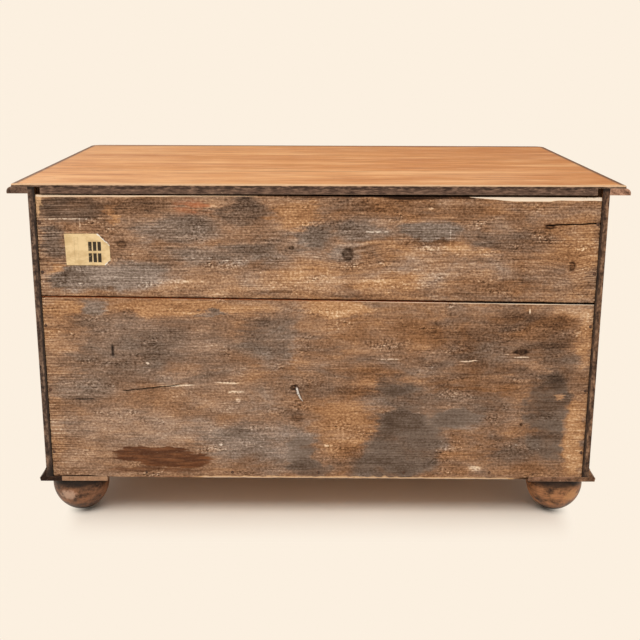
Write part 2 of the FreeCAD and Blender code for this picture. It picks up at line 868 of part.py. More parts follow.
class Drawer:
    """One drawer: dovetailed box, grooved-in bottom and two bail handles."""

    def __init__(self, name, floor, opening):
        self.name = f"{name}_drawer"
        self.side_low = floor + size.drawer_running_gap
        self.side_high = floor + opening - size.drawer_side_drop
        self.front_low = floor + size.drawer_front_lift
        self.front_high = floor + opening - size.drawer_top_gap
        self.groove_low = self.side_low + size.drawer_bottom_rise
        self.bottom_high = self.groove_low + size.drawer_bottom_thickness
        self.groove_high = self.bottom_high + size.drawer_groove_clearance
        self.step = (self.side_high - self.side_low) / TAILS
        self.handle_level = (self.front_low + self.front_high) / 2 + size.handle_rise
        self.posts = [
            side * size.handle_offset + end * size.handle_centres / 2 for side in (-1, 1) for end in (-1, 1)
        ]

    def tail(self, number):
        """The middle of a tail and half its height at the root and at the tip."""
        middle = self.side_low + self.step * (number + 0.5)
        base = self.step * (TAIL_SHARE / 2)
        return middle, base, base + size.dovetail_flare

    def tail_corners(self, number):
        """A front tail, from its upper root round the tip to its lower root."""
        middle, base, tip = self.tail(number)
        return [
            (drawer_front_back, middle + base),
            (tail_tip, middle + tip),
            (tail_tip, middle - tip),
            (drawer_front_back, middle - base),
        ]

    def pin_corners(self, number):
        """A pin of the back, between two tails, from its lower tip round the root to its upper tip."""
        below, base, tip = self.tail(number)
        above = below + self.step
        return [
            (drawer_rear, below + tip),
            (pin_root, below + base),
            (pin_root, above - base),
            (drawer_rear, above - tip),
        ]

    def make_front(self):
        """The front, with lapped sockets, a groove for the bottom and bores for the handle posts."""
        label = f"{self.name}_front"
        body = new_body(label)
        face = rectangle((-drawer_outer, drawer_outer), (self.front_low, self.front_high))
        sketch = outline(body, f"{label}_face", "XZ_Plane", -drawer_front_back, face)
        pad(body, sketch, size.drawer_front_thickness)
        for end_name, end in (("left", -1), ("right", 1)):
            tails = []
            for number in range(TAILS):
                upper, tip_high, tip_low, lower = self.tail_corners(number)
                past = drawer_front_back + CUT_MARGIN
                tails.append([upper, tip_high, tip_low, lower, (past, lower[1]), (past, upper[1])])
            sockets = outline(body, f"{label}_{end_name}_sockets", "YZ_Plane", end * drawer_outer, *tails)
            pocket(body, sockets, size.drawer_side_thickness, along_normal=end < 0)
        half = drawer_inner + size.drawer_groove_depth
        slot = rectangle((-half, half), (self.groove_low, self.groove_high))
        groove = outline(body, f"{label}_groove", "XZ_Plane", -drawer_front_back, slot)
        pocket(body, groove, size.drawer_groove_depth, along_normal=True)
        centres = [(across, self.handle_level) for across in self.posts]
        bore = size.post_shank_radius + size.post_hole_clearance
        holes = circles(body, f"{label}_bores", "XZ_Plane", -drawer_front_back, centres, bore)
        pocket(body, holes, size.drawer_front_thickness + CUT_MARGIN, along_normal=True)
        nodes[label] = body

    def make_cock_bead(self):
        """Four rounded strips, mitred at the corners, round the edge of the front."""
        label = f"{self.name}_cock_bead"
        width, height = size.cock_bead_width, size.cock_bead_height
        crown = drawer_face - height
        rims = [
            rectangle(
                (inset - drawer_outer, drawer_outer - inset),
                (self.front_low + inset, self.front_high - inset),
            )
            for inset in (as_length(0), width)
        ]
        strips = []
        for number, edge_name in enumerate(("lower", "right", "upper", "left")):
            name = f"{label}_{edge_name}"
            following = (number + 1) % len(rims[0])
            strip = new_body(name)
            face = [rims[0][number], rims[0][following], rims[1][following], rims[1][number]]
            pad(strip, outline(strip, f"{name}_face", "XZ_Plane", -drawer_face, face), height)
            ease(
                strip,
                "Fillet",
                f"{name}_round",
                least(width * 0.45, height * 0.8),
                lambda span: at(span.YMin, span.YMax, crown) and min(span.XLength, span.ZLength) < 0.01,
            )
            strips.append(strip)
        nodes[label] = group(label, strips)

    def make_side(self, end_name, end):
        """A side, with tails at both ends and a groove for the bottom."""
        label = f"{self.name}_{end_name}_side"
        body = new_body(label)
        rear = [corner for number in range(TAILS - 1) for corner in self.pin_corners(number)]
        front = [corner for number in reversed(range(TAILS)) for corner in self.tail_corners(number)]
        corners = [
            (drawer_front_back, self.side_low),
            (drawer_rear, self.side_low),
            *rear,
            (drawer_rear, self.side_high),
            (drawer_front_back, self.side_high),
            *front,
        ]
        low = drawer_inner if end > 0 else -drawer_outer
        sketch = outline(body, f"{label}_outline", "YZ_Plane", low, corners)
        pad(body, sketch, size.drawer_side_thickness)
        slot = rectangle(
            (tail_tip - CUT_MARGIN, drawer_rear + CUT_MARGIN),
            (self.groove_low, self.groove_high),
        )
        groove = outline(body, f"{label}_groove", "YZ_Plane", end * drawer_inner, slot)
        pocket(body, groove, size.drawer_groove_depth, along_normal=end > 0)
        nodes[label] = body

    def make_back(self):
        """The back, which stands on the bottom and has pins through both sides."""
        label = f"{self.name}_back"
        body = new_body(label)
        high = self.side_high - size.drawer_back_drop
        board = rectangle((pin_root, drawer_rear), (self.bottom_high, high))
        sketch = outline(body, f"{label}_board", "YZ_Plane", -drawer_inner, board)
        pad(body, sketch, 2 * drawer_inner)
        pins = [self.pin_corners(number) for number in range(TAILS - 1)]
        sketch = outline(body, f"{label}_pins", "YZ_Plane", -drawer_outer, *pins)
        pad(body, sketch, 2 * drawer_outer)
        nodes[label] = body

    def make_bottom(self):
        """The bottom, slid into the grooves from behind and passing under the back."""
        label = f"{self.name}_bottom"
        half = drawer_inner + size.drawer_groove_depth - size.drawer_groove_clearance
        front = drawer_front_back - size.drawer_groove_depth + size.drawer_groove_clearance
        nodes[label] = box(label, (-half, half), (front, drawer_rear), (self.groove_low, self.bottom_high))

    def post(self, name, across):
        """A turned post: rose against the drawer, neck, bored ball head and threaded shank."""
        body = new_body(name, (across, drawer_face, self.handle_level))
        head = size.post_head_radius
        neck = size.post_neck_radius
        shank_end = size.drawer_front_thickness + size.nut_thickness + size.post_shank_tail
        profile = [
            (0, shank_end),
            (size.post_shank_radius, shank_end),
            (size.post_shank_radius, 0),
            (size.rose_radius, 0),
            (size.rose_radius, -size.rose_rim, size.rose_hollow_radius, 1),
            (neck, -size.rose_height),
            (neck, root(head * head - neck * neck) - size.post_reach, head, -1),
            (0, -size.post_reach - head),
        ]
        turn(body, outline(body, f"{name}_profile", "XY_Plane", 0, profile))
        bore = size.bail_radius + size.bail_clearance
        hole = circles(body, f"{name}_bore", "YZ_Plane", 2 * head, [(-size.post_reach, 0)], bore)
        pocket(body, hole, 4 * head)
        return body

    def nut(self, name, across):
        """A square nut on the shank, against the inside of the drawer front."""
        half = size.nut_width / 2
        plate = box(
            f"{name}_plate",
            (across - half, across + half),
            (drawer_front_back, drawer_front_back + size.nut_thickness),
            (self.handle_level - half, self.handle_level + half),
        )
        past = drawer_front_back + size.nut_thickness + CUT_MARGIN
        bore = size.post_shank_radius + size.post_hole_clearance
        reach = size.nut_thickness + 2 * CUT_MARGIN
        return boolean("Cut", name, plate, rod(f"{name}_bore", bore, across, past, self.handle_level, reach))

    def make_posts(self):
        """The posts and nuts of both handles."""
        solids = []
        for number, across in enumerate(self.posts):
            solids.append(self.post(f"{self.name}_post_{number}", across))
            solids.append(self.nut(f"{self.name}_nut_{number}", across))
        label = f"{self.name}_handle_posts"
        nodes[label] = group(label, solids)

    def make_bail(self, end_name, end):
        """A bail that hangs from its two posts by pins turned inwards."""
        label = f"{self.name}_{end_name}_bail"
        pivot = (end * size.handle_offset, drawer_face - size.post_reach, self.handle_level)
        body = new_body(label, pivot)
        pin_end = size.handle_centres / 2 - size.bail_pin_reach
        leg = size.handle_centres / 2 + size.bail_leg_offset
        shoulder = size.bail_shoulder_round
        corner = least(size.bail_corner_round, size.bail_drop - shoulder - size.bail_radius)
        drop = -size.bail_drop
        path = plane_sketch(body, f"{label}_path", "XZ_Plane", 0)
        route = [
            (-pin_end, 0),
            (shoulder - leg, 0, shoulder, 1),
            (-leg, -shoulder),
            (-leg, drop + corner, corner, 1),
            (corner - leg, drop),
            (leg - corner, drop, corner, 1),
            (leg, drop + corner),
            (leg, -shoulder, shoulder, 1),
            (leg - shoulder, 0),
            (pin_end, 0),
        ]
        draw(path, route, closed=False)
        section = circles(body, f"{label}_section", "YZ_Plane", -pin_end, [(0, 0)], size.bail_radius)
        doc.recompute()
        bow = body.newObject("PartDesign::AdditivePipe", f"{label}_bow")
        bow.Profile = section
        bow.Spine = path
        nodes[label] = body

    def make(self):
        """All the pieces of this drawer."""
        self.make_front()
        self.make_cock_bead()
        for end_name, end in (("left", -1), ("right", 1)):
            self.make_side(end_name, end)
        self.make_back()
        self.make_bottom()
        self.make_posts()
        for end_name, end in (("left", -1), ("right", 1)):
            self.make_bail(end_name, end)


Drawer("upper", upper_floor, size.upper_opening).make()
Drawer("middle", middle_floor, size.middle_opening).make()
Drawer("lower", lower_floor, size.lower_opening).make()
doc.recompute()

for item in doc.Objects:
    if "Invalid" in item.State or "Error" in item.State:
        raise RuntimeError(f"{item.Label} failed: {item.State}")
for label, piece in nodes.items():
    if piece.Shape.isNull() or not piece.Shape.isValid():
        raise RuntimeError(f"{label} has no valid shape")
for label, piece in nodes.items():
    piece.Shape.exportStep(f"parts/{label}.step")
print(f"{len(nodes)} pieces, {sum(len(piece.Shape.Solids) for piece in nodes.values())} solids")
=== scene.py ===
"""Looks of a low oak chest of drawers, seen from its nailed back: worn boards, fittings and finishes."""

import logging
import math
import re
from dataclasses import dataclass, field
from enum import Enum
from typing import Sequence, Union

import bmesh
import bpy
from mathutils import Matrix, Vector, noise


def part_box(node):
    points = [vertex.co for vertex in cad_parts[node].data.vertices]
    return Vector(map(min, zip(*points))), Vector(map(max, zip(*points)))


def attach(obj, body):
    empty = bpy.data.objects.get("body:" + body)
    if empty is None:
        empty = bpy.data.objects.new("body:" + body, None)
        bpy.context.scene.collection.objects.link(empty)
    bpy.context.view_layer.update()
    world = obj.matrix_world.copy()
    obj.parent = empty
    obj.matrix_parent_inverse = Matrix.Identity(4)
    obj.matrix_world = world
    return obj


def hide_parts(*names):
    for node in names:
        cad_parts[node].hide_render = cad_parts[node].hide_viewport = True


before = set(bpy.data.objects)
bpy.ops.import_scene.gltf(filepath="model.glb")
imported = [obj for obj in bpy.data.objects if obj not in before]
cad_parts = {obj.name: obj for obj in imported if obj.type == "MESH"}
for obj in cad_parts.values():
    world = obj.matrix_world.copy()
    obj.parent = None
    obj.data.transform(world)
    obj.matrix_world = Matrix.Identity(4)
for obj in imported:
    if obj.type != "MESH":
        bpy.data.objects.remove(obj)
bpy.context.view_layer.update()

LOG = logging.getLogger("chest")
MM = 0.001
Colour = tuple[float, float, float, float]
Point = tuple[float, float]
Place = tuple[float, float, float]
Settings = dict[str, object]
Inputs = dict[Union[int, str], object]
Ring = Sequence[bmesh.types.BMVert]


def srgb(red: int, green: int, blue: int) -> Colour:
    """Turn a colour as seen on a screen into Blender's linear values.

    Args:
        red: Red level, 0 to 255.
        green: Green level, 0 to 255.
        blue: Blue level, 0 to 255.

    Returns:
        The linear colour with full alpha.
    """
    shares = [level / 255 for level in (red, green, blue)]
    linear = [s / 12.92 if s <= 0.04045 else ((s + 0.055) / 1.055) ** 2.4 for s in shares]
    return (*linear, 1.0)


def smooth(value: float, low: float, high: float) -> float:
    """Ease a number from 0 at low to 1 at high.

    Args:
        value: The number.
        low: Where the result is 0.
        high: Where the result is 1; it may lie below low.

    Returns:
        The eased share.
    """
    share = min(1.0, max(0.0, (value - low) / (high - low)))
    return share * share * (3 - 2 * share)


def between(stations: Sequence[Point], x: float) -> float:
    """Read a value off a row of stations.

    Args:
        stations: Pairs of a place and the value there, in rising order of place.
        x: The place that is wanted.

    Returns:
        The value, straight between the stations.
    """
    for (first, value), (last, other) in zip(stations, stations[1:]):
        if x <= last:
            return value + (other - value) * max(0.0, (x - first) / (last - first))
    return stations[-1][1]


def ripple(x: float, z: float, seed: float) -> float:
    """Give a smooth seeded noise from about -1 to 1 at a point of a plane."""
    return noise.noise(Vector((x, seed * 17.3, z)))


class Term:
    """A socket of a finish's node tree; arithmetic on it adds Math nodes."""

    def __init__(self, shade: "Shade", socket: bpy.types.NodeSocket) -> None:
        """Wrap one output socket of the tree."""
        self.shade = shade
        self.socket = socket

    def _math(self, operation: str, *operands: "Operand") -> "Term":
        """Add one Math node."""
        return self.shade.add("ShaderNodeMath", {"operation": operation}, dict(enumerate(operands)))

    def __add__(self, other: "Operand") -> "Term":
        """Add."""
        return self._math("ADD", self, other)

    def __radd__(self, other: "Operand") -> "Term":
        """Add, with a number first."""
        return self._math("ADD", other, self)

    def __sub__(self, other: "Operand") -> "Term":
        """Subtract."""
        return self._math("SUBTRACT", self, other)

    def __rsub__(self, other: "Operand") -> "Term":
        """Subtract from a number."""
        return self._math("SUBTRACT", other, self)

    def __mul__(self, other: "Operand") -> "Term":
        """Multiply."""
        return self._math("MULTIPLY", self, other)

    def __rmul__(self, other: "Operand") -> "Term":
        """Multiply, with a number first."""
        return self._math("MULTIPLY", other, self)

    def __abs__(self) -> "Term":
        """Drop the sign."""
        return self._math("ABSOLUTE", self)

    def largest(self, other: "Operand") -> "Term":
        """Take the larger of two values."""
        return self._math("MAXIMUM", self, other)

    def folded(self, width: float) -> "Term":
        """Fold a distance back and forth, so that it stays between 0 and a width."""
        return self._math("PINGPONG", self, width)

    def swing(self, strength: "Operand") -> "Term":
        """Turn a noise around 0.5 into one around 0 with a strength."""
        return (self - 0.5) * strength

    def rise(self, low: float, high: float) -> "Term":
        """Ease from 0 at low to 1 at high.

        Args:
            low: The value that gives 0.
            high: The value that gives 1; it may lie below low.

        Returns:
            The eased share.
        """
        limits = {"Value": self, "From Min": low, "From Max": high}
        return self.shade.add("ShaderNodeMapRange", {"interpolation_type": "SMOOTHSTEP"}, limits)

    def near(self, middle: float, reach: float) -> "Term":
        """Give 1 at a middle, eased to 0 at a reach on both sides of it."""
        away = self - middle
        return away.rise(-reach, 0.0) * away.rise(reach, 0.0)

    def within(self, low: float, high: float, soft: float) -> "Term":
        """Give 1 between two values, with soft ends."""
        return self.rise(low - soft, low + soft) * self.rise(high + soft, high - soft)


Operand = Union[Term, float]
Paint = Union[Term, Colour]


class Grain(Enum):
    """The way the fibres of a piece run, as the order of its axes: along, across, across."""

    WIDTH = ("X", "Y", "Z")
    DEPTH = ("Y", "X", "Z")
    HEIGHT = ("Z", "X", "Y")


class Coat(Enum):
    """The finishes of the CAD nodes and the keyholes, by the names of their materials."""

    TOP = "top_oak"
    PALE_MOULDING = "pale_moulding"
    DARK_MOULDING = "dark_moulding"
    FRONT_MOULDING = "front_moulding"
    BLACK_BASE = "black_base"
    BROWN_BASE = "brown_base"
    LEFT_SIDE = "left_side_oak"
    RIGHT_SIDE = "right_side_oak"
    DRAWER = "drawer_oak"
    FRONT = "front_oak"
    BARE_WIDTH = "bare_width"
    BARE_DEPTH = "bare_depth"
    PALE_BLOCK = "pale_block"
    DIM_BLOCK = "dim_block"
    FOOT = "turned_foot"
    BRASS = "aged_brass"
    KEYHOLE = "keyhole_painted_shade"


class Slot(Enum):
    """The record's material slots of the new pieces."""

    BACK_DEAL = "back_deal"
    PAPER = "paper"
    IRON = "iron"
    BRASS = "brass"


class Shade:
    """The node tree of one finish."""

    def __init__(self, name: str) -> None:
        """Start an empty material.

        Args:
            name: Its name.
        """
        self.material = bpy.data.materials.new(name)
        self.material.use_nodes = True
        self.tree = self.material.node_tree
        self.tree.nodes.clear()

    def node(
        self, kind: str, settings: Settings | None = None, inputs: Inputs | None = None
    ) -> bpy.types.Node:
        """Add a node; every node of a tree is made here.

        Args:
            kind: The node's type.
            settings: Properties that are set first; "stops" sets a colour ramp.
            inputs: Values or links of its sockets, by name or number.

        Returns:
            The node.
        """
        node = self.tree.nodes.new(kind)
        for name, value in (settings or {}).items():
            if name == "stops":
                elements = node.color_ramp.elements
                while len(elements) < len(value):
                    elements.new(1.0)
                for element, (position, colour) in zip(elements, value):
                    element.position = position
                    element.color = colour
            else:
                setattr(node, name, value)
        for key, value in (inputs or {}).items():
            if isinstance(value, Term):
                self.tree.links.new(value.socket, node.inputs[key])
            else:
                node.inputs[key].default_value = value
        return node

    def add(
        self,
        kind: str,
        settings: Settings | None = None,
        inputs: Inputs | None = None,
        output: int | str = 0,
    ) -> Term:
        """Add a node for one of its outputs.

        Args:
            kind: The node's type.
            settings: Properties that are set first.
            inputs: Values or links of its sockets, by name or number.
            output: The output that is wanted, by name or number.

        Returns:
            That output.
        """
        return Term(self, self.node(kind, settings, inputs).outputs[output])

    def place(self) -> Term:
        """Give the object's own coordinates in metres."""
        return self.add("ShaderNodeTexCoord", output="Object")

    def part(self, vector: Term, axis: str) -> Term:
        """Give one component of a vector."""
        return self.add("ShaderNodeSeparateXYZ", None, {0: vector}, axis)

    def axes(self, order: Sequence[str] = "XYZ") -> tuple[Term, Term, Term]:
        """Give the object's own coordinates one by one."""
        place = self.place()
        return tuple(self.part(place, axis) for axis in order)

    def joined(self, x: Operand, y: Operand, z: Operand) -> Term:
        """Make a vector from three values."""
        return self.add("ShaderNodeCombineXYZ", None, {0: x, 1: y, 2: z})

    def vector(self, operation: str, first: Term, *others: Term | Sequence[float]) -> Term:
        """Add one Vector Math node that gives a vector."""
        operands = dict(enumerate((first, *others)))
        return self.add("ShaderNodeVectorMath", {"operation": operation}, operands)

    def scaled(self, place: Term, *cells: float) -> Term:
        """Stretch a place by one number, or by three, one for each axis."""
        return self.vector("MULTIPLY", place, cells if len(cells) == 3 else cells * 3)

    def shifted(self, place: Term, aside: Operand, up: Operand) -> Term:
        """Move a place sideways and up."""
        return self.vector("ADD", place, self.joined(aside, 0.0, up))

    def length(self, vector: Term) -> Term:
        """Give the length of a vector."""
        return self.add("ShaderNodeVectorMath", {"operation": "LENGTH"}, {0: vector}, "Value")

    def noise(
        self,
        where: Term | tuple[Operand, Operand, Operand],
        detail: float = 3,
        roughness: float = 0.5,
        distortion: float = 0,
    ) -> Term:
        """Give fractal noise around 0.5.

        Args:
            where: A vector or its three values, already scaled to the noise's cells.
            detail: How many finer layers it has.
            roughness: How strong the finer layers are.
            distortion: How much it is warped by itself.

        Returns:
            The noise.
        """
        vector = where if isinstance(where, Term) else self.joined(*where)
        inputs = {"Vector": vector, "Scale": 1.0, "Detail": detail}
        inputs |= {"Roughness": roughness, "Distortion": distortion}
        return self.add("ShaderNodeTexNoise", None, inputs)

    def mix(self, first: Paint, second: Paint, share: Operand) -> Term:
        """Blend a share of a second colour into a first one."""
        return self.add("ShaderNodeMix", {"data_type": "RGBA"}, {0: share, 6: first, 7: second}, 2)

    def layered(self, colour: Paint, *coats: tuple[Paint, Operand]) -> Term:
        """Lay coats of colour over each other.

        Args:
            colour: The ground.
            coats: The colour of each coat and its share, from the first to the last.

        Returns:
            The colour that shows.
        """
        for coat, share in coats:
            colour = self.mix(colour, coat, share)
        return colour

    def ramp(self, value: Term, *stops: tuple[float, Colour]) -> Term:
        """Turn a value into the colour between a ramp's stops."""
        return self.add("ShaderNodeValToRGB", {"stops": stops}, {0: value})

    def chance(self) -> Term:
        """Give a number from 0 to 1 that is each piece's own."""
        return self.add("ShaderNodeObjectInfo", output="Random")

    def carried(self, layer: str) -> Term:
        """Give a value that the mesh carries on its vertices."""
        return self.add("ShaderNodeAttribute", {"attribute_name": layer}, None, "Fac")

    def normal(self) -> Term:
        """Give the direction that the surface faces."""
        return self.add("ShaderNodeNewGeometry", output="Normal")

    def fibres(self, grain: Grain) -> tuple[Term, Term, Term]:
        """Give the distances along and across the fibres, different in each piece.

        Args:
            grain: The way the fibres run.

        Returns:
            The distance along them and the two across them, in metres.
        """
        chance = self.chance()
        along, across, level = self.axes(grain.value)
        return along + chance * 7.0, across + chance * 3.0, level + chance * 5.0

    def edges(self, radius: float) -> Term:
        """Find the edges of a piece.

        Args:
            radius: How far they reach, in metres.

        Returns:
            A share from 0 on its faces to 1 on a sharp edge.
        """
        operands = {0: self.add("ShaderNodeBevel", {"samples": 4}, {"Radius": radius}), 1: self.normal()}
        facing = self.add("ShaderNodeVectorMath", {"operation": "DOT_PRODUCT"}, operands, "Value")
        return facing.rise(0.99, 0.84)

    def hollows(self, distance: float) -> Term:
        """Find corners and crevices.

        Args:
            distance: How far they reach, in metres.

        Returns:
            A share from 0 in the open to 1 deep inside.
        """
        settings = {"samples": 6, "only_local": False}
        light = self.add("ShaderNodeAmbientOcclusion", settings, {"Distance": distance}, "AO")
        return light.rise(0.85, 0.25)

    def finish(
        self, colour: Paint, roughness: Operand, height: Term | None = None, **fixed: float
    ) -> bpy.types.Material:
        """Close the tree with its surface.

        Args:
            colour: The base colour.
            roughness: The roughness.
            height: The relief in millimetres, for a fine bump.
            fixed: Constant sockets of the surface, with _ for a space in their names.

        Returns:
            The finished material.
        """
        inputs = {"Base Color": colour, "Roughness": roughness}
        inputs |= {name.replace("_", " "): value for name, value in fixed.items()}
        if height:
            relief = {"Strength": 1.0, "Distance": MM, "Height": height}
            inputs["Normal"] = self.add("ShaderNodeBump", None, relief)
        surface = self.add("ShaderNodeBsdfPrincipled", None, inputs)
        self.node("ShaderNodeOutputMaterial", None, {"Surface": surface})
        return self.material


class Sky(Shade):
    """The node tree of the world."""

    def __init__(self, name: str) -> None:
        """Start an empty world and let the scene use it.

        Args:
            name: Its name.
        """
        world = bpy.data.worlds.new(name)
        world.use_nodes = True
        self.tree = world.node_tree
        self.tree.nodes.clear()
        bpy.context.scene.world = world


@dataclass(frozen=True)
class Patch:
    """A patch of the back in mm: its middle, its reach, and how much lighter and warmer it is."""

    name: str
    middle: Point
    reach: Point
    light: float
    warmth: float = 0.0
    soft: float = 0.9
    squared: bool = False

    @property
    def sooty(self) -> bool:
        """Say whether the patch is soot, which dulls the fibres under it."""
        return self.name.startswith("soot")


@dataclass(frozen=True)
class Knot:
    """A knot in a back board: its middle and its reach in mm, and how dark it is."""

    middle: Point
    reach: Point
    dark: float = 0.36

    def patch(self, wide: float, tall: float, soft: float) -> Patch:
        """Give a patch round the knot that reaches so many times as far."""
        return Patch("knot", self.middle, (self.reach[0] * wide, self.reach[1] * tall), 0.0, soft=soft)


@dataclass(frozen=True)
class Split:
    """A split along the fibres: its ends, its half widths there and its depth in mm."""

    start: Point
    end: Point
    widths: tuple[float, float]
    depth: float


# Stains of the back, laid out in the frame's own x and z.
PATCHES = (
    Patch("soot in the upper corner", (398, 541), (52, 20), -0.24, -0.3, 0.6),
    Patch("dim beside the label", (430, 488), (24, 26), -0.19, -0.4),
    Patch("golden spot", (333, 528), (8, 14), 0.13, 0.4),
    Patch("brown upper left", (296, 545), (50, 14), -0.13),
    Patch("pale wisps", (168, 548), (9, 6), 0.26, 0.1),
    Patch("grey upper left", (225, 508), (64, 22), -0.07, -0.4),
    Patch("dim upper middle", (118, 536), (46, 20), -0.2, -0.35),
    Patch("golden upper middle", (34, 533), (34, 20), 0.12, 0.4),
    Patch("grey left of the knot", (10, 498), (24, 20), -0.09, -0.4),
    Patch("blue grey under the label", (346, 430), (92, 22), 0.03, -0.75),
    Patch("dark lower end", (425, 425), (22, 14), -0.16, -0.3),
    Patch("orange lower end", (436, 441), (14, 8), 0.15, 0.45),
    Patch("grey middle band", (150, 468), (96, 15), -0.03, -0.45),
    Patch("orange brown band", (180, 418), (112, 17), 0.14, 0.05),
    Patch("golden middle", (8, 432), (54, 30), 0.13, 0.15),
    Patch("grey round the knot", (-46, 471), (24, 18), 0.08, -0.3),
    Patch("grey over the knot", (-60, 505), (72, 13), -0.08, -0.35),
    Patch("red brown upper right", (-140, 546), (62, 15), -0.17, 0.25),
    Patch("blue grey upper right", (-180, 506), (42, 18), -0.02, -0.65),
    Patch("dark line", (-182, 487), (36, 4), -0.15, 0.2),
    Patch("golden right of the middle", (-242, 474), (42, 14), 0.22, 0.25),
    Patch("pale grey", (-168, 469), (40, 14), 0.13, -0.15),
    Patch("grey lower right", (-180, 425), (26, 12), 0.14, -0.1),
    Patch("golden lower right", (-112, 424), (60, 15), 0.13, 0.3),
    Patch("dark right", (-315, 492), (62, 17), -0.17, -0.2),
    Patch("golden upper right", (-322, 536), (48, 12), -0.02, 0.0),
    Patch("dark band lower right", (-305, 415), (52, 13), -0.1, 0.1),
    Patch("golden right end", (-427, 470), (26, 56), 0.12, 0.25),
    Patch("golden under the joint", (428, 374), (34, 17), 0.1, 0.25, 0.6),
    Patch("blue grey under the joint", (375, 380), (20, 13), -0.02, -0.55),
    Patch("golden strip", (226, 378), (114, 12), 0.11, 0.4),
    Patch("grey in the strip", (178, 368), (32, 4), -0.07, -0.5),
    Patch("golden strip middle", (-22, 378), (56, 13), 0.22, 0.5),
    Patch("golden left end", (432, 330), (38, 30), 0.1, 0.15, 0.5),
    Patch("grey left", (318, 306), (88, 60), -0.07, -0.3),
    Patch("grey left of the middle", (200, 302), (84, 58), -0.04, -0.2),
    Patch("dim middle", (74, 322), (44, 40), -0.06, -0.4),
    Patch("golden threads", (35, 305), (12, 22), 0.09, 0.15),
    Patch("golden smear", (222, 270), (42, 10), 0.12, 0.25),
    Patch("grey lower left", (396, 236), (54, 30), -0.03, -0.25),
    Patch("pale brown left", (326, 168), (112, 34), 0.07, -0.2),
    Patch("brown middle", (150, 222), (84, 28), 0.04, -0.15),
    Patch("grey low", (104, 140), (84, 36), 0.03, -0.5),
    Patch("soot blob", (27, 118), (24, 34), -0.06, -0.35, 0.5),
    Patch("soot blob foot", (18, 90), (30, 24), -0.09, -0.3, 0.5),
    Patch("orange brown", (-42, 172), (50, 48), 0.06, 0.3, 0.6),
    Patch("orange low", (-52, 112), (32, 26), -0.11, -0.05),
    Patch("soot flame", (-152, 136), (66, 58), -0.12, -0.5, 0.4),
    Patch("soot flame foot", (-116, 84), (62, 32), -0.08, -0.35, 0.5),
    Patch("soot flame head", (-170, 182), (70, 24), -0.06, -0.3, 0.6),
    Patch("soot spots over the flame", (-126, 243), (32, 14), -0.17, -0.4),
    Patch("soot flame tongue", (-232, 186), (38, 17), -0.03, -0.35, 0.6),
    Patch("brown between", (-262, 130), (40, 36), -0.01, 0.1, 0.6),
    Patch("soot right", (-393, 190), (40, 78), -0.15, -0.4, 0.4),
    Patch("dim low right", (-338, 130), (42, 30), -0.11, -0.15),
    Patch("golden right strip", (-438, 148), (22, 64), 0.2, 0.5, 0.5),
    Patch("umber right", (-350, 342), (74, 44), -0.16, -0.1),
    Patch("dark right edge", (-402, 288), (28, 42), -0.13, -0.15),
    Patch("golden right edge", (-446, 322), (13, 44), 0.12, 0.25),
    Patch("brown right of the middle", (-150, 330), (54, 24), -0.04, 0.1),
    Patch("dark over the flame", (-150, 226), (66, 22), -0.12, -0.3),
    Patch("golden thread right", (-262, 235), (74, 3), -0.03, 0.2),
    Patch("pale under the joint", (-420, 370), (36, 13), 0.24, 0.15),
    Patch("dim right of the middle", (-225, 300), (48, 56), -0.12, -0.1),
    Patch("dim below the umber", (-372, 256), (62, 20), -0.08, -0.15),
    Patch("dim centre", (-24, 234), (54, 20), -0.09),
    Patch("pale low middle", (196, 162), (34, 22), 0.14, -0.15),
    Patch("golden low left end", (441, 152), (14, 40), 0.09, 0.1),
    Patch("yellow chip", (-405, 222), (8, 7), 0.34, 0.6),
    Patch("dim upright band", (-291, 236), (36, 66), -0.08, 0.05),
    Patch("brown over the knot", (-62, 541), (36, 15), -0.11),
    Patch("brown upper right", (-238, 540), (38, 16), -0.11, 0.1),
    Patch("pale band lower right", (-176, 446), (84, 11), 0.1, -0.05),
    Patch("pale low left", (406, 110), (32, 28), 0.1),
    Patch("golden strip inner end", (104, 374), (40, 16), 0.1, 0.05),
)
# Scratches and flecks, which only lighten or darken the wood, and painted shadows over the foot blocks
# and under the top.
MARKS = (
    Patch("long scratch", (-252, 287), (15, 0.9), 0.8, soft=0.6),
    Patch("scratch left of it", (-116, 290), (20, 0.8), 0.5, soft=0.6),
    Patch("scratch under the dark knot", (-340, 294), (13, 0.9), 0.65, soft=0.6),
    Patch("upper scratch", (-95, 506), (26, 0.9), 0.6, soft=0.6),
    Patch("upright scratch", (-213, 498), (0.9, 17), 0.24, soft=0.6),
    Patch("pale tear", (238, 243), (28, 1.4), 0.5, soft=0.8),
    Patch("scuff", (152, 248), (22, 1.6), 0.5, soft=0.8),
    Patch("lower scuff", (140, 232), (14, 2.0), 0.4, soft=0.8),
    Patch("slanting scuff", (135, 217), (4, 4), 0.35, soft=0.9),
    Patch("fleck", (286, 283), (3.2, 2.2), 0.55),
    Patch("small fleck", (283, 269), (2, 1.6), 0.4),
    Patch("low fleck", (166, 137), (3, 2), 0.5),
    Patch("chalky patch", (-268, 94), (12, 5), 0.3),
    Patch("chalky spot", (-14, 136), (4, 3), 0.4),
    Patch("paint drop", (-349, 373), (1.4, 4), 0.8, soft=0.5),
    Patch("upper fleck", (-180, 543), (4, 2.4), 0.4),
    Patch("pale scratch under the corner", (408, 525), (34, 1.1), 0.5, soft=0.8),
    Patch("upright scratch in the corner", (386, 516), (1.0, 9), 0.35, soft=0.8),
    # Painted shadows where the back meets the foot blocks and the top.
    Patch("painted shadow over the left block", (412, 78.5), (48, 1.8), -0.8, soft=0.8),
    Patch("painted shadow over the right block", (-404, 75), (54, 2.8), -1.2, soft=0.7),
    Patch("painted shadow under the top", (-176, 562), (84, 3.0), -0.55, soft=0.8),
    Patch("more painted shadow under the top", (-20, 562.5), (90, 2.0), -0.35, soft=0.8),
)
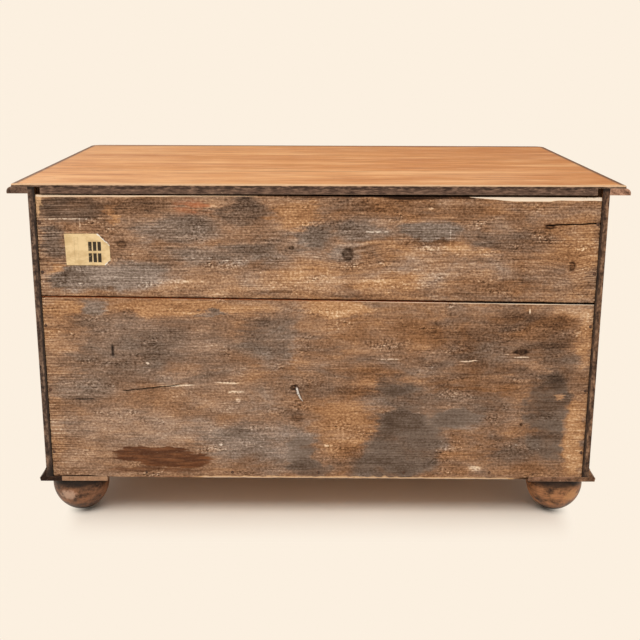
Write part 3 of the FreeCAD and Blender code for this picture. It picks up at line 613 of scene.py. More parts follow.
# Coats of another colour, which take none of their tone from the wood.
RUSTY = Patch("rusty upper patch", (204, 545), (34, 14), 0.0)
BRUSHED = Patch("red brown brush stroke", (281, 119), (66, 13), 0.0, soft=0.3, squared=True)
SMEARED = Patch("its lower end", (248, 109), (60, 13), 0.0, soft=0.3, squared=True)
RUNNY = Patch("thin red brown run", (276, 91), (84, 5), 0.0)
KNOTS = (
    Knot((-47, 468), (9, 11)),
    Knot((-414, 450), (5, 9)),
    Knot((320, 484), (8, 6), 0.22),
    Knot((45, 479), (4, 4), 0.26),
    Knot((-374, 514), (9, 3.5)),
    Knot((-338, 303), (12, 4.5)),
    Knot((36, 187), (9, 9), 0.16),
    Knot((40, 240), (6, 5)),
    Knot((-345, 174), (2.5, 2.5)),
)
SPLITS = (
    Split((-366, 516), (-458, 520.5), (0.5, 0.9), 8),
    Split((330, 233), (232, 244), (0.45, 0.45), 3),
    Split((345, 319), (342, 290), (1.0, 0.6), 3),
    Split((411, 218), (378, 219), (0.4, 0.4), 2),
)


@dataclass(frozen=True)
class DealGrain:
    """The noises of the weathered back and its shifted places, which the steps of its finish share."""

    place: Term
    x: Term
    z: Term
    comb: Term
    streak: Term
    fibre: Term
    mottle: Term
    grit: Term
    fleck: Term
    cast: Term
    drift: Term
    tatter: Term
    frayed: Term
    calm: Term
    drawn: Term


@dataclass(frozen=True)
class DealFinish:
    """Bare weathered softwood of the back, with its patches, knots, scratches and pale broken edges."""

    name: str = "weathered_deal"
    joint: Point = (0.378, 0.404)
    upper: Point = (0.39, 0.4)
    ends: Point = (0.385, 0.45)
    warm: tuple[Colour, ...] = (
        srgb(46, 27, 15),
        srgb(101, 67, 41),
        srgb(151, 107, 72),
        srgb(197, 150, 107),
        srgb(242, 212, 174),
    )
    cool: tuple[Colour, ...] = (
        srgb(42, 29, 20),
        srgb(89, 71, 58),
        srgb(131, 114, 101),
        srgb(176, 156, 142),
        srgb(230, 216, 200),
    )

    def _share(self, shade: Shade, place: Term, patch: Patch) -> Term:
        """Spread one patch over the back, round or with squared ends.

        Args:
            shade: The finish's tree.
            place: Where, in metres.
            patch: The patch.

        Returns:
            Its share, from 0 outside to 1 in its middle.
        """
        scale = (1 / (patch.reach[0] * MM), 0, 1 / (patch.reach[1] * MM))
        shift = (-patch.middle[0] / patch.reach[0], 0, -patch.middle[1] / patch.reach[1])
        away = shade.vector("MULTIPLY_ADD", place, scale, shift)
        if patch.squared:
            away = shade.vector("MULTIPLY", away, away)
        return shade.length(away).rise(1 + patch.soft / 2, 1 - patch.soft / 2)

    def _grain(self, shade: Shade) -> DealGrain:
        """Lay out the noises along the fibres, which bend round the knots.

        Args:
            shade: The finish's tree.

        Returns:
            The noises and the places that they shift.
        """
        place = shade.place()
        x, z = shade.part(place, "X"), shade.part(place, "Z")
        level = z + shade.noise((x * 2.4, 0.0, z * 6.0), 2).swing(0.016)
        for knot in KNOTS:
            bend = self._share(shade, place, knot.patch(4, 2.6, 1.6))
            level = level + bend * (knot.reach[1] * MM * 0.7)
        streak = shade.noise((x * 19.0, 5.0, level * 150.0), 5, 0.7)
        fibre = shade.noise((x * 85.0, 7.0, level * 480.0), 3, 0.7)
        mottle = shade.noise((x * 13.0, 1.0, z * 27.0), 7, 0.64, 0.3)
        grit = shade.noise((x * 250.0, 2.0, z * 290.0), 2, 0.6)
        drift = shade.noise((x * 17.0, 4.0, z * 30.0), 4, 0.6)
        aside = drift.swing(0.07) + streak.swing(0.07) + fibre.swing(0.02)
        return DealGrain(
            place,
            x,
            z,
            comb=shade.noise((x * 7.0, 3.0, level * 460.0), 3, 0.6),
            streak=streak,
            fibre=fibre,
            mottle=mottle,
            grit=grit,
            fleck=shade.noise((x * 150.0, 9.0, level * 310.0), 2, 0.6),
            cast=shade.noise((x * 9.0, 8.0, z * 22.0), 6, 0.66, 0.5),
            drift=drift,
            tatter=shade.noise((x * 12.0, 6.0, z * 34.0), 6, 0.68).rise(0.52, 0.68),
            frayed=shade.shifted(place, aside, mottle.swing(0.05) + grit.swing(0.006)),
            calm=shade.shifted(place, drift.swing(0.1), mottle.swing(0.06)),
            drawn=shade.shifted(place, 0.0, drift.swing(0.008)),
        )

    def _stained(self, shade: Shade, grain: DealGrain) -> tuple[Term, Term]:
        """Lay the patches over the mottled wood and roughen it with its fibres.

        Args:
            shade: The finish's tree.
            grain: Its noises.

        Returns:
            The lightness and the warmth of the wood.
        """
        light = 0.5 + grain.mottle.swing(0.66)
        warmth = 0.62 + grain.cast.swing(1.7 - grain.x.rise(0.0, 0.2) * 0.8) + grain.streak.swing(0.4)
        soot: Operand = 0.0
        for patch in PATCHES:
            share = self._share(shade, grain.calm if patch.soft <= 0.5 else grain.frayed, patch)
            light = light + share * patch.light
            if patch.sooty:
                soot = share.largest(soot)
            if patch.warmth:
                warmth = warmth + share * patch.warmth
        upper_board = grain.z.rise(*self.upper)
        fuzz = grain.streak.swing(0.54) + grain.fibre.swing(0.5 + grain.tatter)
        fuzz = fuzz + grain.grit.swing(0.8 + grain.tatter * 1.1)
        light = light + fuzz * (1 - soot * 0.5) * (1 + upper_board * 0.12)
        near_end = abs(grain.x).rise(*self.ends) * (0.35 + grain.x.rise(-0.1, 0.1) * 0.65)
        return light + grain.comb.swing(0.5 + near_end * 1.2 + upper_board * 0.35), warmth

    def _marked(self, shade: Shade, grain: DealGrain, light: Term) -> Term:
        """Scratch the wood, set its knots in and fleck it.

        Args:
            shade: The finish's tree.
            grain: Its noises.
            light: The lightness of the stained wood.

        Returns:
            The lightness of the marked wood.
        """
        broken = (grain.fibre + grain.grit).rise(0.7, 1.0)
        for mark in MARKS:
            light = light + self._share(shade, grain.drawn, mark) * broken * (mark.light * 0.9)
        for knot in KNOTS:
            rim = self._share(shade, grain.frayed, knot.patch(1.8, 1.7, 0.8))
            heart = self._share(shade, grain.drawn, knot.patch(1, 1, 0.7))
            core = self._share(shade, grain.drawn, knot.patch(0.6, 0.6, 0.9))
            light = light - rim * 0.07 - heart * knot.dark + core * (knot.dark * 0.4)
        light = light + grain.fleck.rise(0.62, 0.72) * (0.14 + grain.tatter * 0.5)
        return light - grain.fleck.rise(0.38, 0.28) * (0.14 + grain.tatter * 0.36)

    def _tone(self, shade: Shade, light: Term, warmth: Term) -> Term:
        """Turn lightness and warmth into the colour of the wood.

        Args:
            shade: The finish's tree.
            light: From 0, nearly black, to 1, pale.
            warmth: From 0, grey, to 1, golden.

        Returns:
            The colour.
        """
        steps = (0.02, 0.25, 0.50, 0.75, 0.98)
        golden = shade.ramp(light, *zip(steps, self.warm))
        grey = shade.ramp(light, *zip(steps, self.cool))
        return shade.mix(grey, golden, warmth.rise(0.0, 1.0))

    def _painted(self, shade: Shade, grain: DealGrain, colour: Term) -> Term:
        """Put the rusty patch and the red-brown brush stroke on the wood.

        Args:
            shade: The finish's tree.
            grain: Its noises.
            colour: The bare wood.

        Returns:
            The painted wood.
        """
        rust = self._share(shade, grain.frayed, RUSTY) * grain.streak.rise(0.4, 0.6)
        aside = grain.comb.swing(0.04) + grain.streak.swing(0.06)
        swept = shade.shifted(grain.place, aside, grain.drift.swing(0.03))
        stroke = self._share(shade, swept, BRUSHED).largest(self._share(shade, swept, SMEARED))
        stroke = stroke.largest(self._share(shade, swept, RUNNY) * 0.75)
        paint = shade.mix(srgb(78, 44, 26), srgb(122, 75, 45), grain.streak.rise(0.42, 0.66))
        return shade.layered(
            colour,
            (srgb(176, 96, 56), rust * 0.6),
            (paint, stroke * grain.fibre.rise(0.24, 0.42) * 0.9),
        )

    def _bared(self, shade: Shade, grain: DealGrain, colour: Term) -> Term:
        """Show pale broken wood at the edges, the inside of the joint, and painted shade in the splits
        and knot rims.

        Args:
            shade: The finish's tree.
            grain: Its noises.
            colour: The weathered wood.

        Returns:
            The wood with its damage.
        """
        fresh = shade.carried("fresh")
        splinter = (fresh + grain.comb.swing(0.9) + grain.fibre.swing(0.7)).rise(0.45, 0.75)
        bared = shade.mix(srgb(216, 174, 130), srgb(244, 225, 201), fresh.rise(0.75, 1.1))
        bared = shade.mix(bared, srgb(150, 108, 76), grain.tatter * grain.grit.rise(0.5, 0.62) * 0.8)
        flat = abs(shade.part(shade.normal(), "Z")).rise(0.7, 0.95)
        lining = shade.mix(srgb(40, 26, 18), srgb(190, 112, 60), grain.x.rise(-0.3, -0.15))
        return shade.layered(
            colour,
            (bared, splinter * 0.92),
            (lining, flat * grain.z.within(*self.joint, 2 * MM) * 0.85),
            # Painted shade in the splits and knot rims.
            (srgb(22, 15, 12), shade.carried("hollow")),
        )

    def make(self) -> bpy.types.Material:
        """Build the finish.

        Returns:
            The material.
        """
        shade = Shade(self.name)
        grain = self._grain(shade)
        light, warmth = self._stained(shade, grain)
        colour = self._tone(shade, self._marked(shade, grain, light), warmth)
        colour = self._bared(shade, grain, self._painted(shade, grain, colour))
        relief = grain.comb.swing(-0.8) + grain.fibre.swing(0.6) + grain.streak.swing(0.5)
        relief = relief + grain.grit.swing(0.4)
        return shade.finish(colour, 0.74 + grain.grit * 0.2, relief, Specular_IOR_Level=0.12)


@dataclass(frozen=True)
class OakFinish:
    """Waxed oak: fine pores and rays along the fibres, rubbed pale on edges, with painted shade in its
    corners.
    """

    name: str
    light: Colour
    mid: Colour
    dark: Colour
    grain: Grain = Grain.WIDTH
    roughness: float = 0.5
    edge: Colour = srgb(190, 150, 112)
    edge_wear: float = 0.5
    edge_reach: float = 2.2
    # corner_shade sets the painted shade in corners; the dark tone serves that painted shade and also
    # real dents, hand grease and dirt.
    corner_shade: float = 0.7
    dirt_and_shade_tone: Colour = srgb(38, 26, 20)

    def wood(self, shade: Shade) -> tuple[Term, Term, Term]:
        """Lay down the wood itself.

        Args:
            shade: The finish's tree.

        Returns:
            Its colour, its relief in mm and a cloudy noise for wear.
        """
        along, across, level = shade.fibres(self.grain)
        bent = shade.noise((along * 1.6, across * 4.0, level * 4.0), 2).swing(0.05)
        lean = bent + along * 0.04
        heart = shade.joined((across + lean).folded(0.1), (level + lean).folded(0.13) + 0.012, 0.0)
        ring = shade.noise((shade.length(heart) * 190.0, along * 0.9, 3.0), 3, 0.55)
        ray = shade.noise((along * 110.0, across * 28.0, level * 28.0), 1)
        stripe = shade.noise((along * 4.0, (across + bent) * 260.0, (level + bent) * 260.0), 3, 0.6)
        pore = shade.noise((along * 34.0, across * 900.0, level * 900.0), 1, 0.5)
        cloud = shade.noise((along * 5.0, across * 9.0, level * 9.0), 5, 0.6)
        figure = ring * 0.55 + stripe * 0.25 + cloud * 0.2 + shade.chance().swing(0.08)
        colour = shade.layered(
            shade.ramp(figure, (0.34, self.dark), (0.5, self.mid), (0.66, self.light)),
            (self.light, ray.rise(0.62, 0.74) * 0.3),
            (self.dark, stripe.rise(0.55, 0.75) * 0.45),
            (srgb(52, 34, 22), pore.rise(0.62, 0.74) * 0.4),
        )
        return colour, stripe.swing(-0.35) + pore.rise(0.6, 0.75) * -0.15, cloud

    def worn(self, shade: Shade, colour: Term, cloud: Term) -> Term:
        """Stain, dent and scratch the wood and rub its edges pale.

        Args:
            shade: The finish's tree.
            colour: The clean wood.
            cloud: A cloudy noise.

        Returns:
            The colour of the worn wood.
        """
        along, across, level = shade.fibres(self.grain)
        place = shade.place()
        stain = shade.noise(shade.scaled(place, 6, 6, 9), 6, 0.64)
        dent = shade.noise(shade.scaled(place, 95), 3, 0.6)
        scratch = shade.noise((along * 9.0 + across * 14.0, across * 330.0, level * 330.0), 2, 0.5)
        rubbed = (shade.edges(self.edge_reach * MM) * 0.9 + cloud.swing(1.4)).rise(0.4, 0.95)
        return shade.layered(
            colour,
            (self.dark, stain.rise(0.5, 0.68) * 0.6),
            (self.light, stain.rise(0.46, 0.3) * 0.4),
            (self.dirt_and_shade_tone, dent.rise(0.68, 0.75) * 0.6),
            (self.edge, scratch.rise(0.7, 0.77) * 0.35),
            (self.edge, rubbed * self.edge_wear),
        )

    def with_corner_shade(self, shade: Shade, colour: Term, distance: float) -> Term:
        """Paint shade into the corners and crevices, as far as a distance in mm."""
        return shade.mix(colour, self.dirt_and_shade_tone, shade.hollows(distance * MM) * self.corner_shade)

    def make(self) -> bpy.types.Material:
        """Build the finish.

        Returns:
            The material.
        """
        shade = Shade(self.name)
        colour, relief, cloud = self.wood(shade)
        # Painted shade in the corners.
        colour = self.with_corner_shade(shade, self.worn(shade, colour, cloud), 18)
        return shade.finish(colour, self.roughness + cloud.swing(0.3), relief, Specular_IOR_Level=0.35)


@dataclass(frozen=True)
class FrontFinish(OakFinish):
    """Waxed oak of the drawer fronts, darkened round the handles by hands."""

    aside: float = 268
    levels: tuple[float, ...] = (485, 335, 171)

    def worn(self, shade: Shade, colour: Term, cloud: Term) -> Term:
        """Wear the wood and darken it round the handles.

        Args:
            shade: The finish's tree.
            colour: The clean wood.
            cloud: A cloudy noise.

        Returns:
            The colour of the worn wood.
        """
        x, _, z = shade.axes()
        outward = (abs(x) - self.aside * MM) * 11.0
        hands: Operand = 0.0
        for level in self.levels:
            away = shade.length(shade.joined(outward, 0.0, (z - level * MM) * 22.0))
            hands = away.rise(1.3, 0.2).largest(hands)
        greasy = (hands + cloud.swing(1.2)).rise(0.2, 1.1)
        return shade.mix(OakFinish.worn(self, shade, colour, cloud), self.dirt_and_shade_tone, greasy * 0.4)


@dataclass(frozen=True)
class TopFinish(OakFinish):
    """The orange-brown top with painted light on its face, whose sawn rear edge is dark and scuffed,
    with a pale arris.
    """

    rear: float = 324
    crown: float = 582
    seam: float = 151
    sawn: tuple[Colour, Colour, Colour] = (srgb(52, 37, 30), srgb(98, 75, 62), srgb(142, 112, 92))

    def _wear_and_painted_light(self, shade: Shade, colour: Term) -> Term:
        """Streak and dent the top, paint light and shade on it, open its seam, and paint shade and pale
        chips along its border.

        Args:
            shade: The finish's tree.
            colour: The clean wood.

        Returns:
            The colour of the upper face.
        """
        x, y, _ = shade.axes()
        low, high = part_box("top_front_board")
        aside = high[0] - abs(x)
        shadow = shade.noise((x * 1.8, y * 5.5, 1.0), 6, 0.62)
        drag = shade.noise((x * 3.0, y * 17.0, 5.0), 6, 0.62)
        dash = shade.noise((x * 7.0, y * 85.0, 2.0), 7, 0.72)
        dent = shade.noise((x * 70.0, y * 120.0, 3.0), 3, 0.6)
        # Painted light: paler towards the rear edge, fading out near the ends.
        rubbed = y.rise(0.06, 0.33) * shadow.rise(0.62, 0.4) * aside.rise(0.0, 0.16)
        opened = x.rise(-0.14, -0.04) * x.rise(0.34, 0.22) + dash.rise(0.5, 0.6) * 0.3
        border = aside.rise(13 * MM, 5 * MM).largest((y - low[1]).rise(28 * MM, 9 * MM))
        return shade.layered(
            colour,
            (srgb(206, 140, 82), 0.5),
            # Painted light and shade: darker towards -X and the front, and the large streaks lean darker
            # towards -X and lighter towards +X.
            (srgb(190, 120, 62), x.rise(0.16, -0.3) * y.rise(0.3, 0.05) * 0.5),
            (srgb(184, 112, 56), (shadow - x * 0.15).rise(0.5, 0.66) * 0.6),
            (srgb(240, 188, 134), (shadow + x * 0.2).rise(0.5, 0.66) * 0.22),
            (srgb(178, 108, 54), drag.rise(0.5, 0.64) * 0.54),
            (srgb(244, 194, 140), drag.rise(0.48, 0.34) * 0.36),
            # Painted light towards the rear.
            (srgb(246, 198, 148), rubbed * 0.46),
            (srgb(112, 62, 32), dash.rise(0.5, 0.7) * 0.5),
            (srgb(246, 198, 146), dash.rise(0.5, 0.32) * 0.46),
            (srgb(70, 40, 24), dent.rise(0.69, 0.76) * 0.75),
            (srgb(62, 34, 20), y.near(self.seam * MM, 3 * MM) * opened.rise(0.0, 1.0) * 0.9),
            # Painted shade along the rounded border, then real pale chips on it.
            (srgb(88, 58, 40), border * dent.rise(0.2, 0.42) * 0.92),
            (self.edge, border * dash.rise(0.42, 0.3) * 0.5),
        )

    def _sawn(self, shade: Shade, colour: Term) -> Term:
        """Darken and scuff the sawn rear edge and rub its arris pale.

        Args:
            shade: The finish's tree.
            colour: The colour of the upper face.

        Returns:
            The colour of the whole top.
        """
        x, y, z = shade.axes()
        rear, crown = self.rear * MM, self.crown * MM
        rough = shade.noise((x * 66.0, 0.0, z * 300.0), 5, 0.66)
        scuff = shade.noise((x * 100.0, 2.0, z * 150.0), 4, 0.65)
        under = z.rise(crown - 9 * MM, crown - 6.5 * MM)
        sawn = shade.layered(
            shade.ramp(rough, *zip((0.34, 0.50, 0.66), self.sawn)),
            (srgb(190, 158, 130), scuff.rise(0.63, 0.73) * 0.7),
            (srgb(40, 29, 24), under * rough.rise(0.62, 0.45) * 0.6),
        )
        behind = y.rise(rear - 1.2 * MM, rear - 0.4 * MM)
        below = z.rise(crown - 4 * MM, crown - 6 * MM)
        near = y.rise(rear - 5 * MM, rear - 0.5 * MM) * z.rise(crown - 3.6 * MM, crown - 1.6 * MM)
        arris = (near + scuff.swing(1.2) + rough.swing(0.6)).rise(0.35, 0.8)
        return shade.layered(colour, (sawn, behind.largest(below)), (self.edge, arris * 0.8))

    def make(self) -> bpy.types.Material:
        """Build the finish.

        Returns:
            The material.
        """
        shade = Shade(self.name)
        colour, relief, cloud = self.wood(shade)
        colour = self._sawn(shade, self._wear_and_painted_light(shade, colour))
        worn = (shade.edges(self.edge_reach * MM) * 0.8 + cloud.swing(1.6)).rise(0.45, 1.0)
        colour = shade.mix(colour, self.edge, worn * self.edge_wear)
        return shade.finish(colour, self.roughness + cloud.swing(0.25), relief, Specular_IOR_Level=0.12)


@dataclass(frozen=True)
class SideFinish(OakFinish):
    """A waxed oak side, whose sawn back edge is dark, dirty and nicked, with painted shadow under the
    top and along its inner edge, darker towards the bottom, and painted shade in its corners.
    """

    rear: float = 323
    crown: float = 577
    bottom_dark: float = 1.0
    bottom_dark_reach: Point = (108, 80)
    shadow_line_span: Point = (459.6, 457.6)
    sawn: tuple[Colour, Colour, Colour] = (srgb(44, 32, 26), srgb(84, 64, 52), srgb(140, 112, 92))

    def make(self) -> bpy.types.Material:
        """Build the finish.

        Returns:
            The material.
        """
        shade = Shade(self.name)
        colour, relief, cloud = self.wood(shade)
        colour = self.worn(shade, colour, cloud)
        x, y, z = shade.axes()
        rough = shade.noise((x * 160.0, 0.0, z * 34.0), 5, 0.7)
        nick = shade.noise((x * 130.0, 4.0, z * 120.0), 4, 0.65)
        # Painted shadow at the top end, under the top; the lower end is only darker towards the bottom.
        crown = z.rise((self.crown - 6) * MM, (self.crown - 3) * MM)
        ends = crown.largest(z.rise(*(level * MM for level in self.bottom_dark_reach)) * self.bottom_dark)
        # Painted shadow line along the inner edge, next to the back boards.
        shadow_line = abs(x).rise(*(line * MM for line in self.shadow_line_span))
        sawn = shade.layered(
            shade.ramp(rough * 0.55 + nick * 0.45, *zip((0.43, 0.5, 0.58), self.sawn)),
            (srgb(22, 15, 12), nick.rise(0.58, 0.68) * 0.8),
            (srgb(26, 17, 12), ends * (nick + rough).rise(0.75, 0.95) * 0.9),
            (srgb(24, 16, 12), shadow_line * nick.rise(0.38, 0.5) * 0.85),
        )
        behind = (y + nick.swing(4 * MM)).rise((self.rear - 2.0) * MM, (self.rear - 0.6) * MM)
        # Painted shade in the corners.
        colour = self.with_corner_shade(shade, shade.mix(colour, sawn, behind), 18)
        return shade.finish(colour, self.roughness + cloud.swing(0.3), relief, Specular_IOR_Level=0.2)


@dataclass(frozen=True)
class WornFinish(OakFinish):
    """Stained oak of mouldings and blocks, blotched with dirt and chipped pale, with painted shade in
    its corners.
    """

    dirt: float = 0.7
    chips: float = 0.5

    def make(self) -> bpy.types.Material:
        """Build the finish.

        Returns:
            The material.
        """
        shade = Shade(self.name)
        colour, relief, cloud = self.wood(shade)
        place = shade.place()
        blotch = shade.noise(shade.scaled(place, 80), 6, 0.7)
        speck = shade.noise(shade.scaled(place, 300), 4, 0.65)
        worn = shade.edges(self.edge_reach * MM) * 0.9 + cloud.swing(1.2) + speck.swing(1.2)
        colour = shade.layered(
            colour,
            (self.dirt_and_shade_tone, (blotch * 0.6 + speck * 0.4).rise(0.5, 0.62) * self.dirt),
            (self.edge, (blotch * 0.5 + speck * 0.5).rise(0.46, 0.36) * self.chips),
            (self.edge, worn.rise(0.45, 0.9) * self.edge_wear),
        )
        relief = relief + blotch.swing(1.2) + speck.swing(0.5)
        roughness = self.roughness + blotch.swing(0.4)
        # Painted shade in the corners.
        return shade.finish(self.with_corner_shade(shade, colour, 14), roughness, relief, Specular_IOR_Level=0.12)


@dataclass(frozen=True)
class BareFinish(OakFinish):
    """Dry unpolished wood of the inside, a little dusty, with painted shade in its corners."""

    def make(self) -> bpy.types.Material:
        """Build the finish.

        Returns:
            The material.
        """
        shade = Shade(self.name)
        colour, relief, cloud = self.wood(shade)
        colour = shade.mix(colour, srgb(150, 124, 96), cloud.rise(0.5, 0.75) * 0.3)
        # Painted shade in the corners.
        colour = self.with_corner_shade(shade, colour, 14)
        return shade.finish(colour, 0.75 + cloud.swing(0.3), relief, Specular_IOR_Level=0.2)


@dataclass(frozen=True)
class FootFinish:
    """Turned and stained polished wood, paler on the feet at one end of the chest, with a painted
    highlight and painted shade.
    """

    name: str = Coat.FOOT.value
    # Where the painted highlight sits: how far out from the middle, a little farther at one end, and how
    # high, in mm.
    aside: float = 433
    aside_end: float = 8
    highlight_level: float = 41

    def make(self) -> bpy.types.Material:
        """Build the finish.

        Returns:
            The material.
        """
        shade = Shade(self.name)
        place = shade.place()
        along, across, level = shade.fibres(Grain.HEIGHT)
        turned = shade.noise((along * 340.0, across * 12.0, level * 12.0), 3)
        speck = shade.noise(shade.scaled(place, 170), 4, 0.65)
        cloud = shade.noise(shade.scaled(place, 34, 34, 62), 5, 0.62)
        x, _, height = shade.axes()
        end = x.rise(0.1, -0.1)
        dark = shade.mix(srgb(36, 22, 15), srgb(50, 29, 17), end)
        light = shade.mix(srgb(144, 99, 70), srgb(182, 126, 84), end)
        highlight_tone = shade.mix(srgb(212, 176, 152), srgb(208, 152, 100), end)
        # Painted highlight: a pale spot at mid height on each foot's outer side.
        outward = abs(x) - (self.aside * MM + end * (self.aside_end * MM))
        away = shade.length(shade.joined(outward * 40.0, 0.0, (height - self.highlight_level * MM) * 64.0))
        rubbed = (away.rise(1.2, 0.1) + speck.swing(1.1) + cloud.swing(0.7)).rise(0.4, 0.95)
        # Painted shade: darker near the floor and under the block.
        shaded = height.rise(26 * MM, 3 * MM).largest(height.rise(50 * MM, 62 * MM))
        colour = shade.layered(
            shade.mix(dark, light, (cloud * 0.7 + speck * 0.3).rise(0.34, 0.62)),
            (srgb(42, 27, 20), turned.rise(0.54, 0.7) * 0.35),
            # Painted highlight, then painted shade under the block, near the floor and in the crevices.
            (highlight_tone, rubbed * 0.62),
            (srgb(22, 13, 9), shaded * 0.92),
            (srgb(20, 14, 11), shade.hollows(14 * MM) * 0.8),
        )
        relief = turned.swing(0.25) + speck.swing(0.5) + cloud.swing(0.6)
        gloss = {"Specular_IOR_Level": 0.2, "Coat_Weight": 0.08, "Coat_Roughness": 0.2}
        return shade.finish(colour, 0.34 + cloud * 0.25, relief, **gloss)


@dataclass(frozen=True)
class BrassFinish:
    """Old cast brass, rubbed bright where hands go and brown in its corners."""

    name: str = Coat.BRASS.value

    def make(self) -> bpy.types.Material:
        """Build the finish.

        Returns:
            The material.
        """
        shade = Shade(self.name)
        place = shade.place()
        cloud = shade.noise(shade.scaled(place, 60), 5, 0.6)
        speck = shade.noise(shade.scaled(place, 420), 3, 0.6)
        rubbed = (cloud * 0.7 + speck * 0.3).rise(0.36, 0.62)
        dirt = shade.hollows(6 * MM).largest(speck.rise(0.66, 0.8) * 0.5)
        colour = shade.mix(srgb(132, 100, 54), srgb(206, 168, 98), rubbed)
        colour = shade.mix(colour, srgb(52, 36, 20), dirt * 0.8)
        return shade.finish(colour, 0.28 + cloud * 0.2 + dirt * 0.3, speck.swing(0.08), Metallic=1.0)


@dataclass(frozen=True)
class IronFinish:
    """Forged iron, rusted brown and dull, or rubbed bright, with near-white patches that are partly a
    painted glint.
    """

    name: str = "rusted_iron"
    shine: float = 0.0

    def make(self) -> bpy.types.Material:
        """Build the finish.

        Returns:
            The material.
        """
        shade = Shade(self.name)
        rust = shade.noise(shade.scaled(shade.place(), 300), 5, 0.65)
        colour = shade.layered(
            srgb(58, 42, 34),
            (srgb(116, 78, 52), rust.rise(0.42, 0.62)),
            # Rubbed bright bare iron, whose near-white colour is also a painted glint.
            (srgb(236, 230, 222), rust.rise(0.62, 0.5) * self.shine),
        )
        return shade.finish(colour, 0.7 - 0.4 * self.shine, rust.swing(0.2), Metallic=0.35)


@dataclass(frozen=True)
class PaperFinish:
    """Aged cream paper with ruled lines, tally strokes, brown spots and a pale torn rim."""

    near: float
    far: float
    foot: float
    crown: float
    name: str = "aged_paper"
    rules: tuple[Point, ...] = ((15, 0.45), (21, 0.3))
    stroke: Point = (5.6, 15)
    columns: tuple[float, ...] = (14, 21.5, 29)
    rows: tuple[float, ...] = (5, 24)
    soft: float = 0.3

    def make(self) -> bpy.types.Material:
        """Build the finish.

        Returns:
            The material.
        """
        shade = Shade(self.name)
        place = shade.place()
        x, _, z = shade.axes()
        cloud = shade.noise(shade.scaled(place, 40, 40, 70), 5, 0.6)
        fox = shade.noise(shade.scaled(place, 190), 4, 0.6)
        colour = shade.layered(
            srgb(232, 204, 156),
            (srgb(208, 178, 130), cloud.rise(0.4, 0.62)),
            (srgb(176, 136, 88), fox.rise(0.62, 0.74) * 0.5),
        )
        inner = z.within((self.foot + 5) * MM, (self.crown - 5) * MM, MM) * fox.rise(0.7, 0.4)
        for inset, width in self.rules:
            line = x.near((self.far - inset) * MM, width * MM) * inner
            colour = shade.mix(colour, srgb(120, 96, 70), line * 0.6)
        ink = fox.rise(0.8, 0.58)
        corners = [(self.near + across, self.foot + up) for up in self.rows for across in self.columns]
        for left, low in corners:
            wide = x.within(left * MM, (left + self.stroke[0]) * MM, self.soft * MM)
            tall = z.within(low * MM, (low + self.stroke[1]) * MM, self.soft * MM)
            colour = shade.mix(colour, srgb(34, 28, 25), wide * tall * ink * 0.96)
        torn = (shade.carried("torn") + fox.swing(0.9)).rise(0.4, 0.7)
        colour = shade.mix(colour, srgb(242, 234, 220), torn)
        return shade.finish(colour, 0.85, fox.swing(0.2) + cloud.swing(0.4), Specular_IOR_Level=0.2)


@dataclass(frozen=True)
class KeyholeShadeFinish:
    """A near-black painted shade behind a keyhole, standing for its shadowed inside."""

    name: str = Coat.KEYHOLE.value

    def make(self) -> bpy.types.Material:
        """Build the finish.

        Returns:
            The material.
        """
        shade = Shade(self.name)
        # Noise that varies the near-black of the painted shade.
        soot = shade.noise(shade.scaled(shade.place(), 500), 3)
        return shade.finish(shade.mix(srgb(12, 9, 7), srgb(30, 22, 16), soot.rise(0.4, 0.6)), 0.9)


class Piece:
    """Steps that every new mesh piece goes through, in the frame's own coordinates."""

    @staticmethod
    def strip(mesh: bmesh.types.BMesh, first: Ring, second: Ring) -> None:
        """Close the strip between two rings of vertices with faces.

        Args:
            mesh: The piece's bmesh.
            first: One ring.
            second: The other ring, with as many vertices.
        """
        for number, vertex in enumerate(first):
            after = (number + 1) % len(first)
            mesh.faces.new((vertex, first[after], second[after], second[number]))

    @staticmethod
    def from_bmesh(
        name: str, mesh: bmesh.types.BMesh, material: bpy.types.Material, sharp: float = 0.6
    ) -> bpy.types.Object:
        """Turn a bmesh into an object of the scene.

        Args:
            name: The piece's name.
            mesh: Its bmesh, in metres; it is freed.
            material: Its finish.
            sharp: Edges that bend more than this many radians stay sharp.

        Returns:
            The object.
        """
        bmesh.ops.recalc_face_normals(mesh, faces=mesh.faces)
        for face in mesh.faces:
            face.smooth = True
        for edge in mesh.edges:
            if len(edge.link_faces) == 2 and edge.calc_face_angle(0.0) > sharp:
                edge.smooth = False
        data = bpy.data.meshes.new(name)
        mesh.to_mesh(data)
        mesh.free()
        data.materials.append(material)
        piece = bpy.data.objects.new(name, data)
        bpy.context.scene.collection.objects.link(piece)
        return piece

    @staticmethod
    def place(piece: bpy.types.Object, body: str, slot: Slot, *nodes: str) -> None:
        """Let a piece ride on a body and stand for CAD nodes.

        Args:
            piece: The piece.
            body: The CAD body that it moves with.
            slot: The record's material slot; it is not used.
            nodes: The CAD nodes that it stands for.
        """
        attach(piece, body)
        if nodes:
            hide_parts(*nodes)
        LOG.info("%s rides on %s", piece.name, body)


